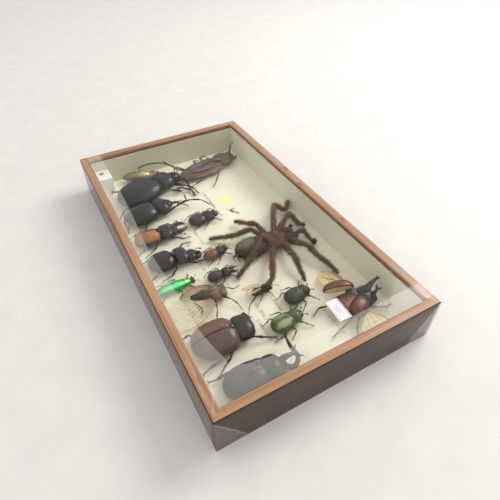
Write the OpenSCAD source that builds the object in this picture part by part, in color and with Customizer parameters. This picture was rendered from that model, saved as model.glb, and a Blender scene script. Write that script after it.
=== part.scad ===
// Glazed wooden display case with a collection of dried insects and one large spider.
// X runs along the short front edge, Y along the long side, Z up from the face it lies on.

/* [Case] */
// Width of the wooden frame, outside
case_w = 210; // [206:1:300]
// Length of the wooden frame, outside
case_l = 372; // [368:1:460]
// Height of the wooden frame
case_h = 45; // [42:0.5:70]
// Thickness of each rail, seen from above
rail_w = 8.5; // [7.5:0.1:10]
// Eased edge along the top of each rail
edge_ease = 0.6; // [0.2:0.1:1.2]

/* [Glass] */
// Thickness of the glass
glass_t = 2; // [1.5:0.1:3]
// Wood left above the glass groove
lip_h = 2.5; // [1.5:0.1:4]
// Depth of the glass groove
groove_d = 3.2; // [2:0.1:4.5]
// Play of the glass in its groove, in height and at each edge
glass_play = 0.3; // [0.1:0.05:0.6]

/* [Back and floor] */
// Thickness of the back board
back_t = 3; // [2:0.1:4]
// How far the back board lies inside the rear edge of the rails
back_inset = 0.6; // [0.5:0.1:1.5]
// Width of the rebate that holds the back board
rebate_w = 4.4; // [3.6:0.1:5]
// Play round the back board, the pinning board and the floor card
board_play = 0.2; // [0.1:0.05:0.5]
// Thickness of the soft pinning board
pin_board_t = 4; // [3:0.1:6]
// Thickness of the cream floor card
card_t = 0.5; // [0.3:0.1:1]
// Thickness of the card strips that line the walls
liner_t = 1; // [0.5:0.1:1.4]

/* [Nails] */
// Diameter of the corner nails
nail_d = 1.4; // [1:0.1:1.8]
// Length of the corner nails
nail_l = 24; // [16:1:30]
// Diameter of the brads in the back
brad_d = 1.2; // [1:0.1:1.5]
// Length of the brads in the back
brad_l = 13; // [9:1:18]
// Brads along each short side
brads_short = 3; // [2:1:4]
// Brads along each long side
brads_long = 5; // [3:1:8]
// Clearance round a nail, a brad or a pin, on the radius
nail_clear = 0.05; // [0.03:0.01:0.1]

/* [Wrap and labels] */
// Thickness of the clear shrink film
film_t = 0.1; // [0.05:0.01:0.2]
// Width of the folded film gussets at the corners
gusset_w = 26; // [15:1:34]
// Length of the price label
price_l = 21.5; // [18:0.5:26]
// Width of the price label
price_w = 12; // [10:0.5:14]
// Thickness of the price label and the paper strips
paper_t = 0.15; // [0.1:0.01:0.25]
// Width of each paper strip on the floor
strip_w = 3.2; // [2:0.1:4]

/* [Mothball box] */
// Width of the small white box in the corner
moth_w = 15.5; // [14:0.5:17]
// Length of the small white box
moth_l = 22; // [18:0.5:24]
// Height of the small white box
moth_h = 20; // [16:0.5:24]
// Diameter of the vent hole in its lid
moth_hole_d = 6; // [3:0.5:9]
// Thickness of its card
moth_wall = 0.8; // [0.5:0.1:1.2]
// Diameter of the mothball inside
moth_ball_d = 12; // [8:0.5:13]

/* [Specimen pins] */
// Diameter of a specimen pin
pin_d = 0.6; // [0.4:0.05:0.8]
// Diameter of a pin's head
pin_head_d = 1.6; // [1.2:0.1:2.4]
// How far a pin reaches into the pinning board
pin_bite = 3.4; // [2:0.1:4]

/* [Hidden] */

frame_z = film_t;                               // underside of the rails, on the film
back_z = frame_z + back_inset;                  // underside of the back board
board_z = back_z + back_t;                      // underside of the pinning board
card_z = board_z + pin_board_t;                 // underside of the floor card
floor_z = card_z + card_t;                      // the floor that the specimens are seen on
frame_top = frame_z + case_h;
glass_z = frame_top - lip_h - glass_play - glass_t;
inner_w = case_w - 2 * rail_w;
inner_l = case_l - 2 * rail_w;
wall_left = liner_t - inner_w / 2;              // faces of the lined walls
wall_right = inner_w / 2 - liner_t;
wall_front = liner_t - inner_l / 2;
wall_back = inner_l / 2 - liner_t;
liner_h = glass_z - floor_z - glass_play;
room = [wall_right - wall_left, wall_back - wall_front, glass_z - floor_z];
measured_room = [191, 353, 32.1];               // room that the specimens were measured in
specimen_scale = min([for (i = [0:2]) room[i] / measured_room[i]]);
nail_head_t = 0.5;
nail_head_d = 2.6;
brad_head_t = 0.4;

wood = [0.76, 0.57, 0.39];
cream = [0.91, 0.89, 0.82];
black_shell = [0.15, 0.14, 0.14];
brown_shell = [0.33, 0.25, 0.21];
fur_brown = [0.31, 0.24, 0.20];
wing_cream = [0.80, 0.74, 0.60];

// Paths, sections and lofts

function unit(v) = v / max(norm(v), 0.0001);

// Direction of a path at one of its points, halfway between the stretches that meet there
function heading(path, i) = let (
    last = len(path) - 1,
    before = unit(path[i] - path[max(i - 1, 0)]),
    after = unit(path[min(i + 1, last)] - path[i])
) unit(before + after);

// A many-sided ring square to a path
function ring(path, radii, i, sides) = let (
    along = heading(path, i),
    across = unit(cross([0, 0, 1], along)),
    over = cross(along, across)
) [for (k = [0:sides - 1]) let (a = 360 * (k + 0.5) / sides)
    path[i] + radii[i] * (cos(a) * across + sin(a) * over)];

// Faces of a closed skin over rings that hold the same number of points
function skin(rings, sides) = concat(
    [[for (k = [0:sides - 1]) k]],
    [[for (k = [sides - 1:-1:0]) (rings - 1) * sides + k]],
    [for (i = [0:rings - 2], k = [0:sides - 1], half = [0, 1]) let (
        a = i * sides + k, b = i * sides + (k + 1) % sides
    ) half == 0 ? [a, b + sides, b] : [a, a + sides, b + sides]]
);

// A tapering limb along a path
module limb(path, radii, sides = 4) {
    polyhedron([for (i = [0:len(path) - 1], corner = ring(path, radii, i, sides)) corner],
        skin(len(path), sides));
}

// Share of the full width at a place u from -1, the tail, to 1, the head
function swell(u, tail, head) = sqrt(1 - pow(abs(u), u < 0 ? tail : head));

// A body segment along X: an egg with its own fullness towards the tail and the head,
// domed above and flatter below, with a seam let in along its back
module segment(length, width, up, down, tail = 2.4, head = 2.4, seam = 0, sides = 10, rings = 6) {
    hoops = [for (i = [0:rings - 1]) let (
        u = -cos(14 + 152 * i / (rings - 1)),
        s = swell(u, tail, head)
    ) [for (k = [0:sides - 1]) let (
        a = 360 * k / sides + 90,
        rise = (sin(a) > 0 ? up : down) * sin(a) * s
    ) [length / 2 * u, width / 2 * s * cos(a), rise - (k == 0 ? seam * s : 0)]]];
    polyhedron([for (hoop = hoops, corner = hoop) corner], skin(rings, sides));
}

// A leg over the floor: it leaves the body, bends up at the knee and comes down to the foot
module leg(plan, thick, root = 5, knee = 8, foot = 3) {
    last = len(plan) - 1;
    path = [for (i = [0:last]) [plan[i].x, plan[i].y,
        i == 0 ? root : knee + (foot - knee) * (i - 1) / max(last - 1, 1)]];
    limb(path, [for (i = [0:last]) thick / 2 * (1 - 0.6 * i / last)]);
}

module legs(plans, thick, root = 5, knee = 8, foot = 3) {
    for (plan = plans) leg(plan, thick, root, knee, foot);
}

// A thin wing: its outline is given in plan and it leans on its root edge
module wing(outline, thick, lean = [0, 0, 0]) {
    rotate(lean) linear_extrude(thick) polygon(outline);
}

// A place on the floor, which keeps its share of the room when the case changes
function spot(x, y) = [x * room.x / measured_room.x, y * room.y / measured_room.y];

// Where each specimen stands, from the middle of the case
tarantula_at = spot(43, -26);
water_bug_at = spot(42, 142);
black_beetle_at = spot(-42, 127);
long_armed_at = spot(-58, 84);
banded_jewel_at = spot(-42, 160.5);
green_jewel_at = spot(-75, -34);
orange_stag_at = spot(-62, 43);
black_stag_at = spot(-62, 1);
dark_red_at = spot(-7, 48);
small_orange_at = spot(-20, -11);
small_dark_at = spot(-29, -41);
cicada_at = spot(-47, -61);
brown_rhino_at = spot(-60, -108);
horned_rhino_at = spot(-57, -155.5);
red_rhino_at = spot(60, -136);
wasp_at = spot(-5, -78);
dark_chafer_at = spot(22, -100);
light_chafer_at = spot(-3, -121);
loose_leg_at = spot(31, 48);

// Pins: place in plan and height of the head over the floor
PINS = [
    [tarantula_at, 18], [water_bug_at, 15], [black_beetle_at, 24], [long_armed_at, 20],
    [banded_jewel_at, 16], [green_jewel_at, 12], [orange_stag_at, 16], [black_stag_at, 16],
    [dark_red_at, 14], [small_orange_at, 11], [small_dark_at, 11], [cicada_at, 14],
    [brown_rhino_at, 22], [horned_rhino_at, 20], [red_rhino_at, 22], [wasp_at, 11],
    [dark_chafer_at, 13], [light_chafer_at, 13],
];

// Sets a specimen, or a part of one, on the floor
module at(place) {
    translate([place.x, place.y, floor_z]) scale(specimen_scale) children();
}

// A specimen with the hole that its pin makes through it
module pinned(place) {
    difference() {
        at(place) children();
        translate([place.x, place.y, floor_z])
            cylinder(h = room.z, r = pin_d / 2 + nail_clear, $fn = 16);
    }
}

// The frame

// Section of a rail, from its outer face at 0 inwards, with the groove and the rebate
module rail_section() {
    difference() {
        polygon([
            [0, 0], [rail_w, 0], [rail_w, case_h - edge_ease], [rail_w - edge_ease, case_h],
            [edge_ease, case_h], [0, case_h - edge_ease],
        ]);
        translate([rail_w - groove_d, glass_z - frame_z]) square([groove_d + 1, glass_t + glass_play]);
        translate([rail_w - rebate_w, -1]) square([rebate_w + 1, 1 + back_inset + back_t]);
    }
}

// A rail along X with both ends mitred, its outer face on Y = 0
module rail(length) {
    intersection() {
        translate([-length / 2, 0, 0]) rotate([90, 0, 90]) linear_extrude(length) rail_section();
        linear_extrude(case_h) polygon([
            [-length / 2, 0], [length / 2, 0], [length / 2 - rail_w, rail_w], [rail_w - length / 2, rail_w],
        ]);
    }
}

nail_heights = [case_h * 0.3, case_h * 0.72];

// Corner nails: driven through the long rails into the ends of the short ones
module nails_at_corners(grow = 0) {
    for (sx = [-1, 1], sy = [-1, 1], z = nail_heights)
        translate([sx * case_w / 2, sy * (case_l / 2 - rail_w / 2), frame_z + z])
            rotate([0, -sx * 90, 0]) {
                cylinder(h = nail_l + grow, d = nail_d + 2 * grow, $fn = 24);
                cylinder(h = nail_head_t + grow, d = nail_head_d + 2 * grow, $fn = 24);
            }
}

// Places of the brads round the back board, over the middle of the rebate
brad_x = inner_w / 2 + rebate_w / 2 - board_play;
brad_y = inner_l / 2 + rebate_w / 2 - board_play;
BRADS = concat(
    [for (i = [0:brads_short - 1], s = [-1, 1])
        [(i + 0.5 - brads_short / 2) * inner_w / brads_short, s * brad_y]],
    [for (i = [0:brads_long - 1], s = [-1, 1])
        [s * brad_x, (i + 0.5 - brads_long / 2) * inner_l / brads_long]]
);

module brads(grow = 0) {
    for (place = BRADS)
        translate([place.x, place.y, back_z]) {
            cylinder(h = brad_l + grow, d = brad_d + 2 * grow, $fn = 24);
            translate([0, 0, -brad_head_t]) cylinder(h = brad_head_t, d = 2 * brad_d, $fn = 24);
        }
}

module drilled_rail(length, place, turn) {
    color(wood) difference() {
        translate(place) rotate(turn) rail(length);
        nails_at_corners(nail_clear);
        brads(nail_clear);
    }
}

module front_rail() { drilled_rail(case_w, [0, -case_l / 2, frame_z], 0); }
module back_rail() { drilled_rail(case_w, [0, case_l / 2, frame_z], 180); }
module left_rail() { drilled_rail(case_l, [-case_w / 2, 0, frame_z], -90); }
module right_rail() { drilled_rail(case_l, [case_w / 2, 0, frame_z], 90); }
module corner_nails() { color("dimgray") nails_at_corners(); }
module back_brads() { color("dimgray") brads(); }

module centred_slab(width, length, z, thick) {
    translate([-width / 2, -length / 2, z]) cube([width, length, thick]);
}

module glass_pane() {
    reach = 2 * (groove_d - glass_play);
    color([0.8, 0.9, 0.88, 0.35]) centred_slab(inner_w + reach, inner_l + reach, glass_z, glass_t);
}

module back_board() {
    reach = 2 * (rebate_w - board_play);
    color([0.60, 0.48, 0.34]) difference() {
        centred_slab(inner_w + reach, inner_l + reach, back_z, back_t);
        brads(nail_clear);
    }
}

// A floor layer that the specimen pins pass through
module pinned_layer(z, thick) {
    difference() {
        centred_slab(inner_w - 2 * board_play, inner_l - 2 * board_play, z, thick);
        for (pin = PINS)
            translate([pin[0].x, pin[0].y, floor_z - card_t - pin_bite])
                cylinder(h = card_t + pin_bite + 1, r = pin_d / 2 + nail_clear, $fn = 24);
    }
}

module pinning_board() { color([0.93, 0.93, 0.90]) pinned_layer(board_z, pin_board_t); }
module floor_card() { color(cream) pinned_layer(card_z, card_t); }

module liner_strip(width, length, place) {
    color([0.66, 0.64, 0.55])
        translate([place.x, place.y, floor_z]) centred_slab(width, length, 0, liner_h);
}

module liner_front() { liner_strip(inner_w - 2 * liner_t, liner_t, [0, liner_t / 2 - inner_l / 2]); }
module liner_back() { liner_strip(inner_w - 2 * liner_t, liner_t, [0, inner_l / 2 - liner_t / 2]); }
module liner_left() { liner_strip(liner_t, inner_l, [liner_t / 2 - inner_w / 2, 0]); }
module liner_right() { liner_strip(liner_t, inner_l, [inner_w / 2 - liner_t / 2, 0]); }

// The wrap and the labels

// The upper film: one skin over the top and the four sides, with its spare width folded
// into a triangular gusset against each end of the short sides
module film_upper() {
    color([0.9, 0.95, 1, 0.2]) {
        difference() {
            centred_slab(case_w + 2 * film_t, case_l + 2 * film_t, frame_z, case_h + film_t);
            centred_slab(case_w, case_l, frame_z - 1, case_h + 1);
        }
        for (turn = [0, 180], side = [0, 1])
            rotate(turn) mirror([side, 0, 0])
                translate([-case_w / 2, -case_l / 2 - film_t, frame_z])
                    rotate([90, 0, 0]) linear_extrude(film_t)
                        polygon([[0, 0], [gusset_w, 0], [0, case_h]]);
    }
}

module film_lower() {
    color([0.9, 0.95, 1, 0.3]) centred_slab(case_w + 2 * film_t, case_l + 2 * film_t, 0, film_t);
}

price_at = [wall_right - 70.5, wall_front + 26, frame_top + film_t];

module price_label() {
    color("white") translate(price_at) rotate(87.5) linear_extrude(paper_t) difference() {
        square([price_l, price_w], center = true);
        for (s = [-1, 1]) translate([0, s * price_w / 2]) square([1.6, 1.2], center = true);
    }
}

// Each paper strip: its middle in plan and its length
STRIPS = [
    [spot(15.8, 81.3), 40], [spot(-27.8, 51.7), 28], [spot(-23.3, 23.8), 26],
    [spot(-38.6, -2.8), 50], [spot(-27.4, -50.6), 12], [spot(-15.3, -95.6), 28],
    [spot(1.8, -94.4), 26], [spot(-23, -116.2), 28], [spot(-88, -64.5), 16],
    [spot(36.3, -138.3), 32],
];

module paper_strips() {
    color([0.95, 0.93, 0.87]) for (strip = STRIPS)
        translate([strip[0].x, strip[0].y, floor_z])
            centred_slab(strip_w, strip[1] * specimen_scale, 0, paper_t);
}

// The mothball box stands in the back left corner

moth_at = [wall_left + 10.2, wall_back - moth_l / 2, floor_z];
moth_hole_at = [-2, 3.5];

module mothball_box() {
    color("white") translate(moth_at) difference() {
        centred_slab(moth_w, moth_l, 0, moth_h);
        centred_slab(moth_w - 2 * moth_wall, moth_l - 2 * moth_wall, moth_wall, moth_h - 2 * moth_wall);
        translate(moth_hole_at) cylinder(h = moth_h + 1, d = moth_hole_d, $fn = 48);
    }
}

module mothball() {
    color("ghostwhite") translate(moth_at)
        translate([0, 0, moth_wall + moth_ball_d / 2]) sphere(d = moth_ball_d, $fn = 48);
}

module specimen_pins() {
    color("silver") for (pin = PINS)
        translate([pin[0].x, pin[0].y, floor_z]) {
            translate([0, 0, -card_t - pin_bite + 0.1])
                cylinder(h = pin[1] * specimen_scale + card_t + pin_bite, d = pin_d, $fn = 24);
            translate([0, 0, pin[1] * specimen_scale]) sphere(d = pin_head_d, $fn = 24);
        }
}

// The specimens: heads point along X

// Each leg of the spider: the height of its foot and its joints in plan
TARANTULA_LEGS = [
    [5, [[6, 12], [20, 36], [30, 50], [35, 39], [40, 39], [51, 53]]],
    [5, [[10, 10], [28, 22], [37, 27], [37, 9], [44, 8]]],
    [4, [[-4, 10], [-6, 31], [-9, 38], [-15, 38], [-22, 48]]],
    [4, [[-8, 8], [-14, 28], [-23, 29], [-43, 27], [-59, 34]]],
    [4, [[-6, -6], [-33, -7], [-48, -21], [-61, -28]]],
    [13, [[-8, -10], [-21, -29], [-33, -49], [-42, -56]]],
    [4, [[4, -10], [2, -34], [-1, -49], [-3, -61]]],
    [5, [[14, -8], [23, -29], [24, -44], [29, -57], [30, -69]]],
];

module tarantula() {
    thick = 6.4;
    knee = 12;
    color(fur_brown) pinned(tarantula_at) {
        translate([-29, 0, 9]) segment(34, 25, 9, 7, 2.6, 2.2, sides = 12, rings = 7);
        translate([-1, 0, 8]) segment(32, 27, 6, 5, 2.4, 2.6, sides = 12);
        translate([15, 6, 7]) segment(22, 11, 6, 5);
        translate([15, -6, 7]) segment(22, 11, 6, 5);
        for (entry = TARANTULA_LEGS) {
            plan = entry[1];
            last = len(plan) - 1;
            drop = (knee - entry[0]) / (last - 1);
            limb([for (i = [0:last]) [plan[i].x, plan[i].y, i == 0 ? 7 : knee - drop * (i - 1)]],
                [for (i = [0:last]) thick / 2 * (i == 0 ? 0.9 : i == last ? 0.55 : 1)], 6);
        }
        limb([[22, -5, 8], [35, -1, 10], [36, 1, 8], [32, -17, 6], [34, -24, 5]], [2.6, 3, 2.6, 2.8, 3.4], 6);
        limb([[-44, 1, 8], [-49, 1, 8], [-53, -7, 7]], [1.6, 1.4, 0.7]);
        limb([[-44, -3, 8], [-47, -5, 8], [-48, -9, 7]], [1.2, 1, 0.6]);
    }
}

module giant_water_bug() {
    color([0.40, 0.31, 0.25]) pinned(water_bug_at) {
        rotate(12.5) {
            translate([-8, 0, 6]) segment(66, 33, 5, 4, 2, 2.8, sides = 12, rings = 8);
            translate([28, 0, 7]) segment(22, 29, 6, 5, 4, 2.6, sides = 12);
            translate([38, 0, 6]) segment(11, 12, 4, 4);
        }
        limb([[36, 10, 7], [41, 16, 10], [45, 21, 14], [49, 20, 18]], [2.2, 2.4, 1.6, 0.7]);
        limb([[36, 2, 7], [42, -2, 8], [44, 4, 8]], [2.4, 2.4, 0.9]);
        legs([
            [[4, 10], [-2, 20], [8, 27], [13, 19]], [[-10, 8], [-12, 18], [-4, 25]],
            [[-28, 6], [-40, 13], [-34, 19], [-27, 13]], [[14, -8], [6, -24], [-4, -36], [-9, -40]],
            [[0, -12], [-12, -24], [-28, -29], [-39, -30]],
        ], 2.4);
    }
}

module great_black_beetle() {
    color(black_shell) pinned(black_beetle_at) {
        rotate(17) {
            translate([-14, 0, 9]) segment(56, 43, 13, 7, 2.4, 3.4, 0.5, 12, 8);
            translate([21, 0, 9]) segment(25, 31, 10, 6, 4, 2.6, sides = 12);
            translate([37, 0, 8]) segment(17, 16, 6, 5);
        }
        limb([[37, 13, 9], [41, 24, 13], [30, 38, 15], [14, 46, 14], [0, 45, 12]],
            [1.3, 0.9, 0.8, 0.6, 0.4]);
        limb([[40, 12, 9], [46, 24, 12], [38, 47, 13]], [1.3, 0.8, 0.4]);
        legs([
            [[34, 4], [44, 1], [45, -17], [48, -24]], [[30, 0], [42, -17], [47, -30], [42, -37]],
            [[-12, -16], [-38, -25], [-48, -33]], [[-20, 12], [-42, 15], [-40, 24]],
            [[8, 10], [4, 22], [-6, 24]],
        ], 3, 5, 8, 3);
    }
}

module long_armed_beetle() {
    color(black_shell) pinned(long_armed_at) {
        rotate(13) {
            translate([-9, 0, 8]) segment(37, 32, 11, 6, 2.4, 3.2, 0.4);
            translate([15, 0, 8]) segment(17, 29, 8, 5, 3.4, 2.8);
            translate([25, 0, 7]) segment(10, 13, 5, 4);
        }
        limb([[12, -10, 6], [33, -3, 9], [46, -2, 9], [61, -9, 8], [66, -24, 6]],
            [1.6, 1.9, 1.5, 1, 0.5]);
        limb([[46, -2, 9], [47, 11, 8]], [1, 0.5]);
        legs([
            [[20, 4], [30, 3], [33, -3]], [[-16, 6], [-27, 7], [-30, -6], [-30, -16]],
            [[-20, -8], [-28, -14], [-31, -18]], [[-4, -13], [-8, -19], [-13, -25]],
        ], 2.6, 5.4);
    }
}

module banded_jewel_beetle() {
    color([0.40, 0.62, 0.32]) pinned(banded_jewel_at) {
        rotate(-16) {
            translate([-5, 0, 7]) segment(35, 13, 7, 4, 1.8, 3, 0.3);
            translate([15, 0, 7]) segment(11, 12, 5, 4, 3, 2.6);
            translate([21, 0, 7]) segment(6, 8, 4, 3);
        }
        legs([[[12, -6], [15, -11], [20, -11]], [[0, -3], [-3, -8], [-8, -7]]], 1.4);
    }
}

module green_jewel_beetle() {
    color([0.10, 0.62, 0.30]) pinned(green_jewel_at) {
        translate([-3, 0, 5]) segment(29, 13, 5, 4, 2, 3.2, 0.3);
        translate([14, -1, 5]) segment(9, 12, 4.5, 3.5, 3, 2.8);
        translate([19, -1, 5]) segment(5, 8, 3, 3);
        legs([
            [[14, 4], [18, 8], [17, 12]], [[2, 4], [4, 9], [-1, 12]], [[-8, 4], [-11, 8], [-16, 10]],
            [[14, -5], [17, -9], [21, -10]], [[2, -5], [5, -10], [0, -14]], [[-8, -5], [-13, -9], [-17, -14]],
        ], 1.2, 4, 5, 2);
    }
}

// A stag beetle: oval wing cases, a wide thorax and jaws with a tooth on the inside
module stag_body(spread) {
    translate([-12, 0, 7]) segment(28, 24, 8, 5, 2.4, 3.4, 0.4);
    translate([8, 0, 7]) segment(15, 22, 6, 5, 3.6, 3.2);
    translate([17, 0, 6]) segment(10, 16, 5, 4, 3, 3);
    for (s = [-1, 1]) {
        limb([[19, s * 5, 6], [25, s * spread, 7], [30, s * (spread - 2), 7]], [2, 1.5, 0.7]);
        limb([[25, s * spread, 7], [28, s * (spread - 4), 7]], [1.1, 0.4]);
    }
}

module orange_stag_beetle() {
    color([0.62, 0.40, 0.24]) pinned(orange_stag_at) {
        stag_body(9);
        legs([
            [[-8, 8], [-16, 13], [-27, 11]], [[-8, -8], [-17, -13], [-26, -17]],
            [[0, -8], [-6, -15], [-12, -20], [-22, -23]], [[8, -8], [15, -15], [20, -19], [26, -18]],
            [[8, 8], [14, 12], [20, 13]],
        ], 2.2);
    }
}

module black_stag_beetle() {
    color(black_shell) pinned(black_stag_at) {
        translate([-12, 0, 7]) segment(28, 26, 8, 5, 2.4, 3.4, 0.4);
        translate([8, 0, 7]) segment(16, 22, 6, 5, 3.6, 3.2);
        translate([18, -4, 6]) rotate(-18) segment(12, 14, 5, 4, 3, 3);
        legs([
            [[-6, 8], [-14, 13], [-26, 11]], [[8, 6], [13, 12], [19, 16], [25, 18]],
            [[-8, -8], [-18, -14], [-28, -17]], [[0, -8], [-2, -16], [-9, -21], [-18, -21]],
            [[8, -8], [10, -14], [16, -20], [25, -21]], [[-2, 8], [-4, 16], [-10, 18]],
        ], 2.4);
    }
}

// A small ground beetle, with its legs a share of its length
module small_beetle(length, width, waist = 0) {
    k = length / 32;
    translate([-7 * k, 0, 5]) segment(20 * k, width, 6, 4, 2.4, 3, 0.3);
    translate([(6 + waist) * k, 0, 5]) segment((13 - waist) * k, width * 0.82, 5, 4, 3, 3);
    translate([14 * k, 0, 5]) segment(7 * k, width * 0.5, 4, 3);
    for (s = [-1, 1]) legs([
        [[-6 * k, s * 4], [-9 * k, s * (width / 2 + 2)], [-13 * k, s * (width / 2 + 3)]],
        [[0, s * 4], [1 * k, s * (width / 2 + 2)], [-3 * k, s * (width / 2 + 5)]],
        [[8 * k, s * 3], [11 * k, s * (width / 2 + 1)], [15 * k, s * (width / 2 + 3)]],
    ], 1.4, 4.3, 6, 2);
}

module dark_red_beetle() {
    color([0.28, 0.17, 0.16]) pinned(dark_red_at) {
        rotate(4) small_beetle(33, 18);
    }
}

module small_orange_beetle() {
    color([0.45, 0.28, 0.18]) pinned(small_orange_at) {
        rotate(8) small_beetle(26, 13);
    }
}

module small_dark_beetle() {
    color([0.27, 0.20, 0.20]) pinned(small_dark_at) {
        small_beetle(26, 12, 1.5);
        for (s = [-1, 1]) limb([[12, s * 2, 5], [16, s * 3, 5], [19, s, 5]], [0.9, 0.8, 0.4]);
    }
}

module cicada() {
    color([0.33, 0.26, 0.22]) pinned(cicada_at) {
        rotate(-12) {
            translate([-12, 1, 6]) segment(30, 14, 6, 4, 1.8, 3);
            translate([2, 1, 6]) segment(15, 17, 6, 5, 3, 3);
            translate([10, 1, 6]) segment(7, 15, 4, 4, 3, 4);
        }
        legs([
            [[8, 0], [15, 1], [21, -2], [28, 1]], [[6, -5], [13, -18], [16, -24]],
            [[0, -4], [-7, -23], [-10, -28]],
        ], 1.4, 5, 6, 2);
    }
}

module cicada_wings() {
    color(wing_cream) at(cicada_at) {
        translate([0, 0, 13.2])
            wing([[0, 3], [-6, 7], [-26, 12], [-42, 8], [-44, 2], [-34, -1], [-8, 0.5]], 0.4, [0, -4, 0]);
        translate([0, 0, 7.6]) wing([
            [-2, -8], [-14, -4], [-34, -3], [-46, -7], [-44, -27], [-30, -28], [-12, -21],
        ], 0.4, [11, 0, 0]);
    }
}

module brown_rhino_beetle() {
    color([0.30, 0.22, 0.20]) pinned(brown_rhino_at) {
        translate([-8, -1, 8]) segment(42, 36, 11, 6, 2.4, 3.2, 0.5, 12, 7);
        translate([17, -1, 8]) segment(18, 27, 8, 6, 3.4, 2.4, sides = 12);
        translate([25, -1, 7]) segment(8, 12, 4, 4);
        legs([
            [[-8, 10], [-8, 18], [-4, 20]], [[-18, 8], [-26, 14], [-30, 16]],
            [[-6, -12], [-10, -21], [-28, -22]], [[6, -8], [-4, -23], [-12, -27]],
            [[16, -8], [26, -19], [33, -29]], [[20, 6], [27, 13], [31, 9]],
        ], 3);
    }
}

module horned_rhino_beetle() {
    color([0.33, 0.32, 0.33]) pinned(horned_rhino_at) {
        translate([-6, 0, 8]) segment(40, 29, 11, 6, 2.4, 3.2, 0.4, 12, 7);
        translate([17, 0, 8]) segment(20, 24, 9, 6, 3, 2.4, sides = 12);
        limb([[24, 0, 12], [33, 0, 14], [37, 0, 14]], [2.6, 1.8, 1.6]);
        for (s = [-1, 1]) limb([[36, 0, 14], [43, s * 6, 14]], [1.5, 0.6]);
        limb([[24, -2, 7], [36, -9, 9], [40, 0, 12], [37, 12, 14], [41, 22, 14]],
            [2.4, 2, 1.8, 1.6, 0.8]);
        legs([
            [[4, 6], [-7, 16], [24, 12]], [[-8, 6], [-15, 15], [-32, 15]],
            [[-10, -8], [-20, -14], [-30, -15]], [[8, -6], [12, -14], [20, -17]],
        ], 2.8, 5, 6, 3);
    }
}

module red_rhino_beetle() {
    color([0.28, 0.15, 0.14]) pinned(red_rhino_at) {
        translate([-8, 1.5, 8]) segment(25, 23, 6, 6, 2.4, 3.4, sides = 12);
        translate([6, -1, 9]) segment(21, 23, 9, 7, 3, 2.6, sides = 12);
        translate([15, -1, 7]) segment(9, 11, 5, 4);
        limb([[8, 1, 15], [17, 4, 17], [26, 6, 18]], [2.8, 1.9, 1.3]);
        for (s = [-1, 1]) limb([[25, 6, 18], [31, 6 + 3 * s, 17.5]], [1.2, 0.5]);
        limb([[16, -1, 9], [25, 1, 13], [30, 3, 14]], [2, 1.4, 1]);
        for (s = [-1, 1]) limb([[29, 3, 14], [33, 3 + 3 * s, 14]], [0.9, 0.5]);
        legs([
            [[-6, 6], [-23, 10], [-30, 13], [-38, 10]], [[-6, -8], [-16, -13], [-25, -15], [-36, -17]],
            [[0, -8], [-12, -22], [-17, -27]], [[8, -7], [18, -16], [30, -14]],
            [[8, 8], [13, 13], [22, 15], [27, 15]],
        ], 2.2);
    }
}

// Its wing cases stand open, with the folded flying wings under them
module red_rhino_wings() {
    color([0.62, 0.42, 0.22]) at(red_rhino_at) {
        translate([-6, 19.5, 13]) rotate([24, 0, 22]) segment(27, 13, 4, 2, 2.4, 2.8);
        translate([-6, -16, 12]) rotate([-24, 0, -22]) segment(25, 12, 4, 2, 2.4, 2.8);
        translate([0, 0, 9.5])
            wing([[-4, 13.2], [-12, 25], [-14, 56], [-4, 58], [4, 46], [5, 26], [2, 11.6]], 0.4, [-7, 0, 0]);
        translate([0, 0, 9.5])
            wing([[-4, -11], [-14, -32], [0, -34], [12, -32], [6, -14]], 0.4, [7, 0, 0]);
    }
}

module wasp() {
    color([0.18, 0.15, 0.13]) pinned(wasp_at) {
        translate([-3, 0, 5]) segment(14, 10, 4.5, 4, 2, 3);
        translate([7, 0, 5]) segment(8, 8, 4, 3.5);
        legs([
            [[-6, -3], [-18, -11], [-24, -18]], [[0, -3], [-2, -7], [-10, -13]],
            [[4, -2], [7, -7], [9, -12]], [[6, 2], [9, 5], [12, 9]],
        ], 1, 4, 5, 2);
    }
}

module wasp_wings() {
    color([0.78, 0.58, 0.28]) at(wasp_at)
        translate([0, 0, 9.6]) for (s = [-1, 1])
            wing([[-2, s * 1.2], [-6, s * 5], [-15, s * 8], [-18, s * 5], [-10, s * 1.2]], 0.3);
}

module chafer(length, width) {
    k = length / 30;
    translate([-4 * k, 0, 6]) segment(22 * k, width, 7, 4, 2.6, 3.2, 0.3);
    translate([8 * k, 0, 6]) segment(10 * k, width * 0.8, 6, 4, 3.2, 2.6);
    translate([13 * k, 0, 5]) segment(6 * k, width * 0.45, 4, 3);
    for (s = [-1, 1]) legs([
        [[-6 * k, s * 5], [-10 * k, s * (width / 2 + 2)], [-15 * k, s * (width / 2)]],
        [[0, s * 5], [1, s * (width / 2 + 3)], [-3, s * (width / 2 + 6)]],
        [[7 * k, s * 4], [11 * k, s * (width / 2 + 1)], [14 * k, s * (width / 2 + 5)]],
    ], 1.4, 4.4, 5, 2);
}

module dark_green_chafer() {
    color([0.16, 0.24, 0.17]) pinned(dark_chafer_at) rotate(8) chafer(28, 17);
}

module light_green_chafer() {
    color([0.28, 0.38, 0.22]) pinned(light_chafer_at) rotate(6) chafer(33, 18);
}

module loose_leg() {
    color([0.42, 0.38, 0.33]) at(loose_leg_at)
        limb([[-4, -4, 0.5], [0, 0, 1], [5, 1, 0.8]], [0.4, 0.7, 0.4]);
}

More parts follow.
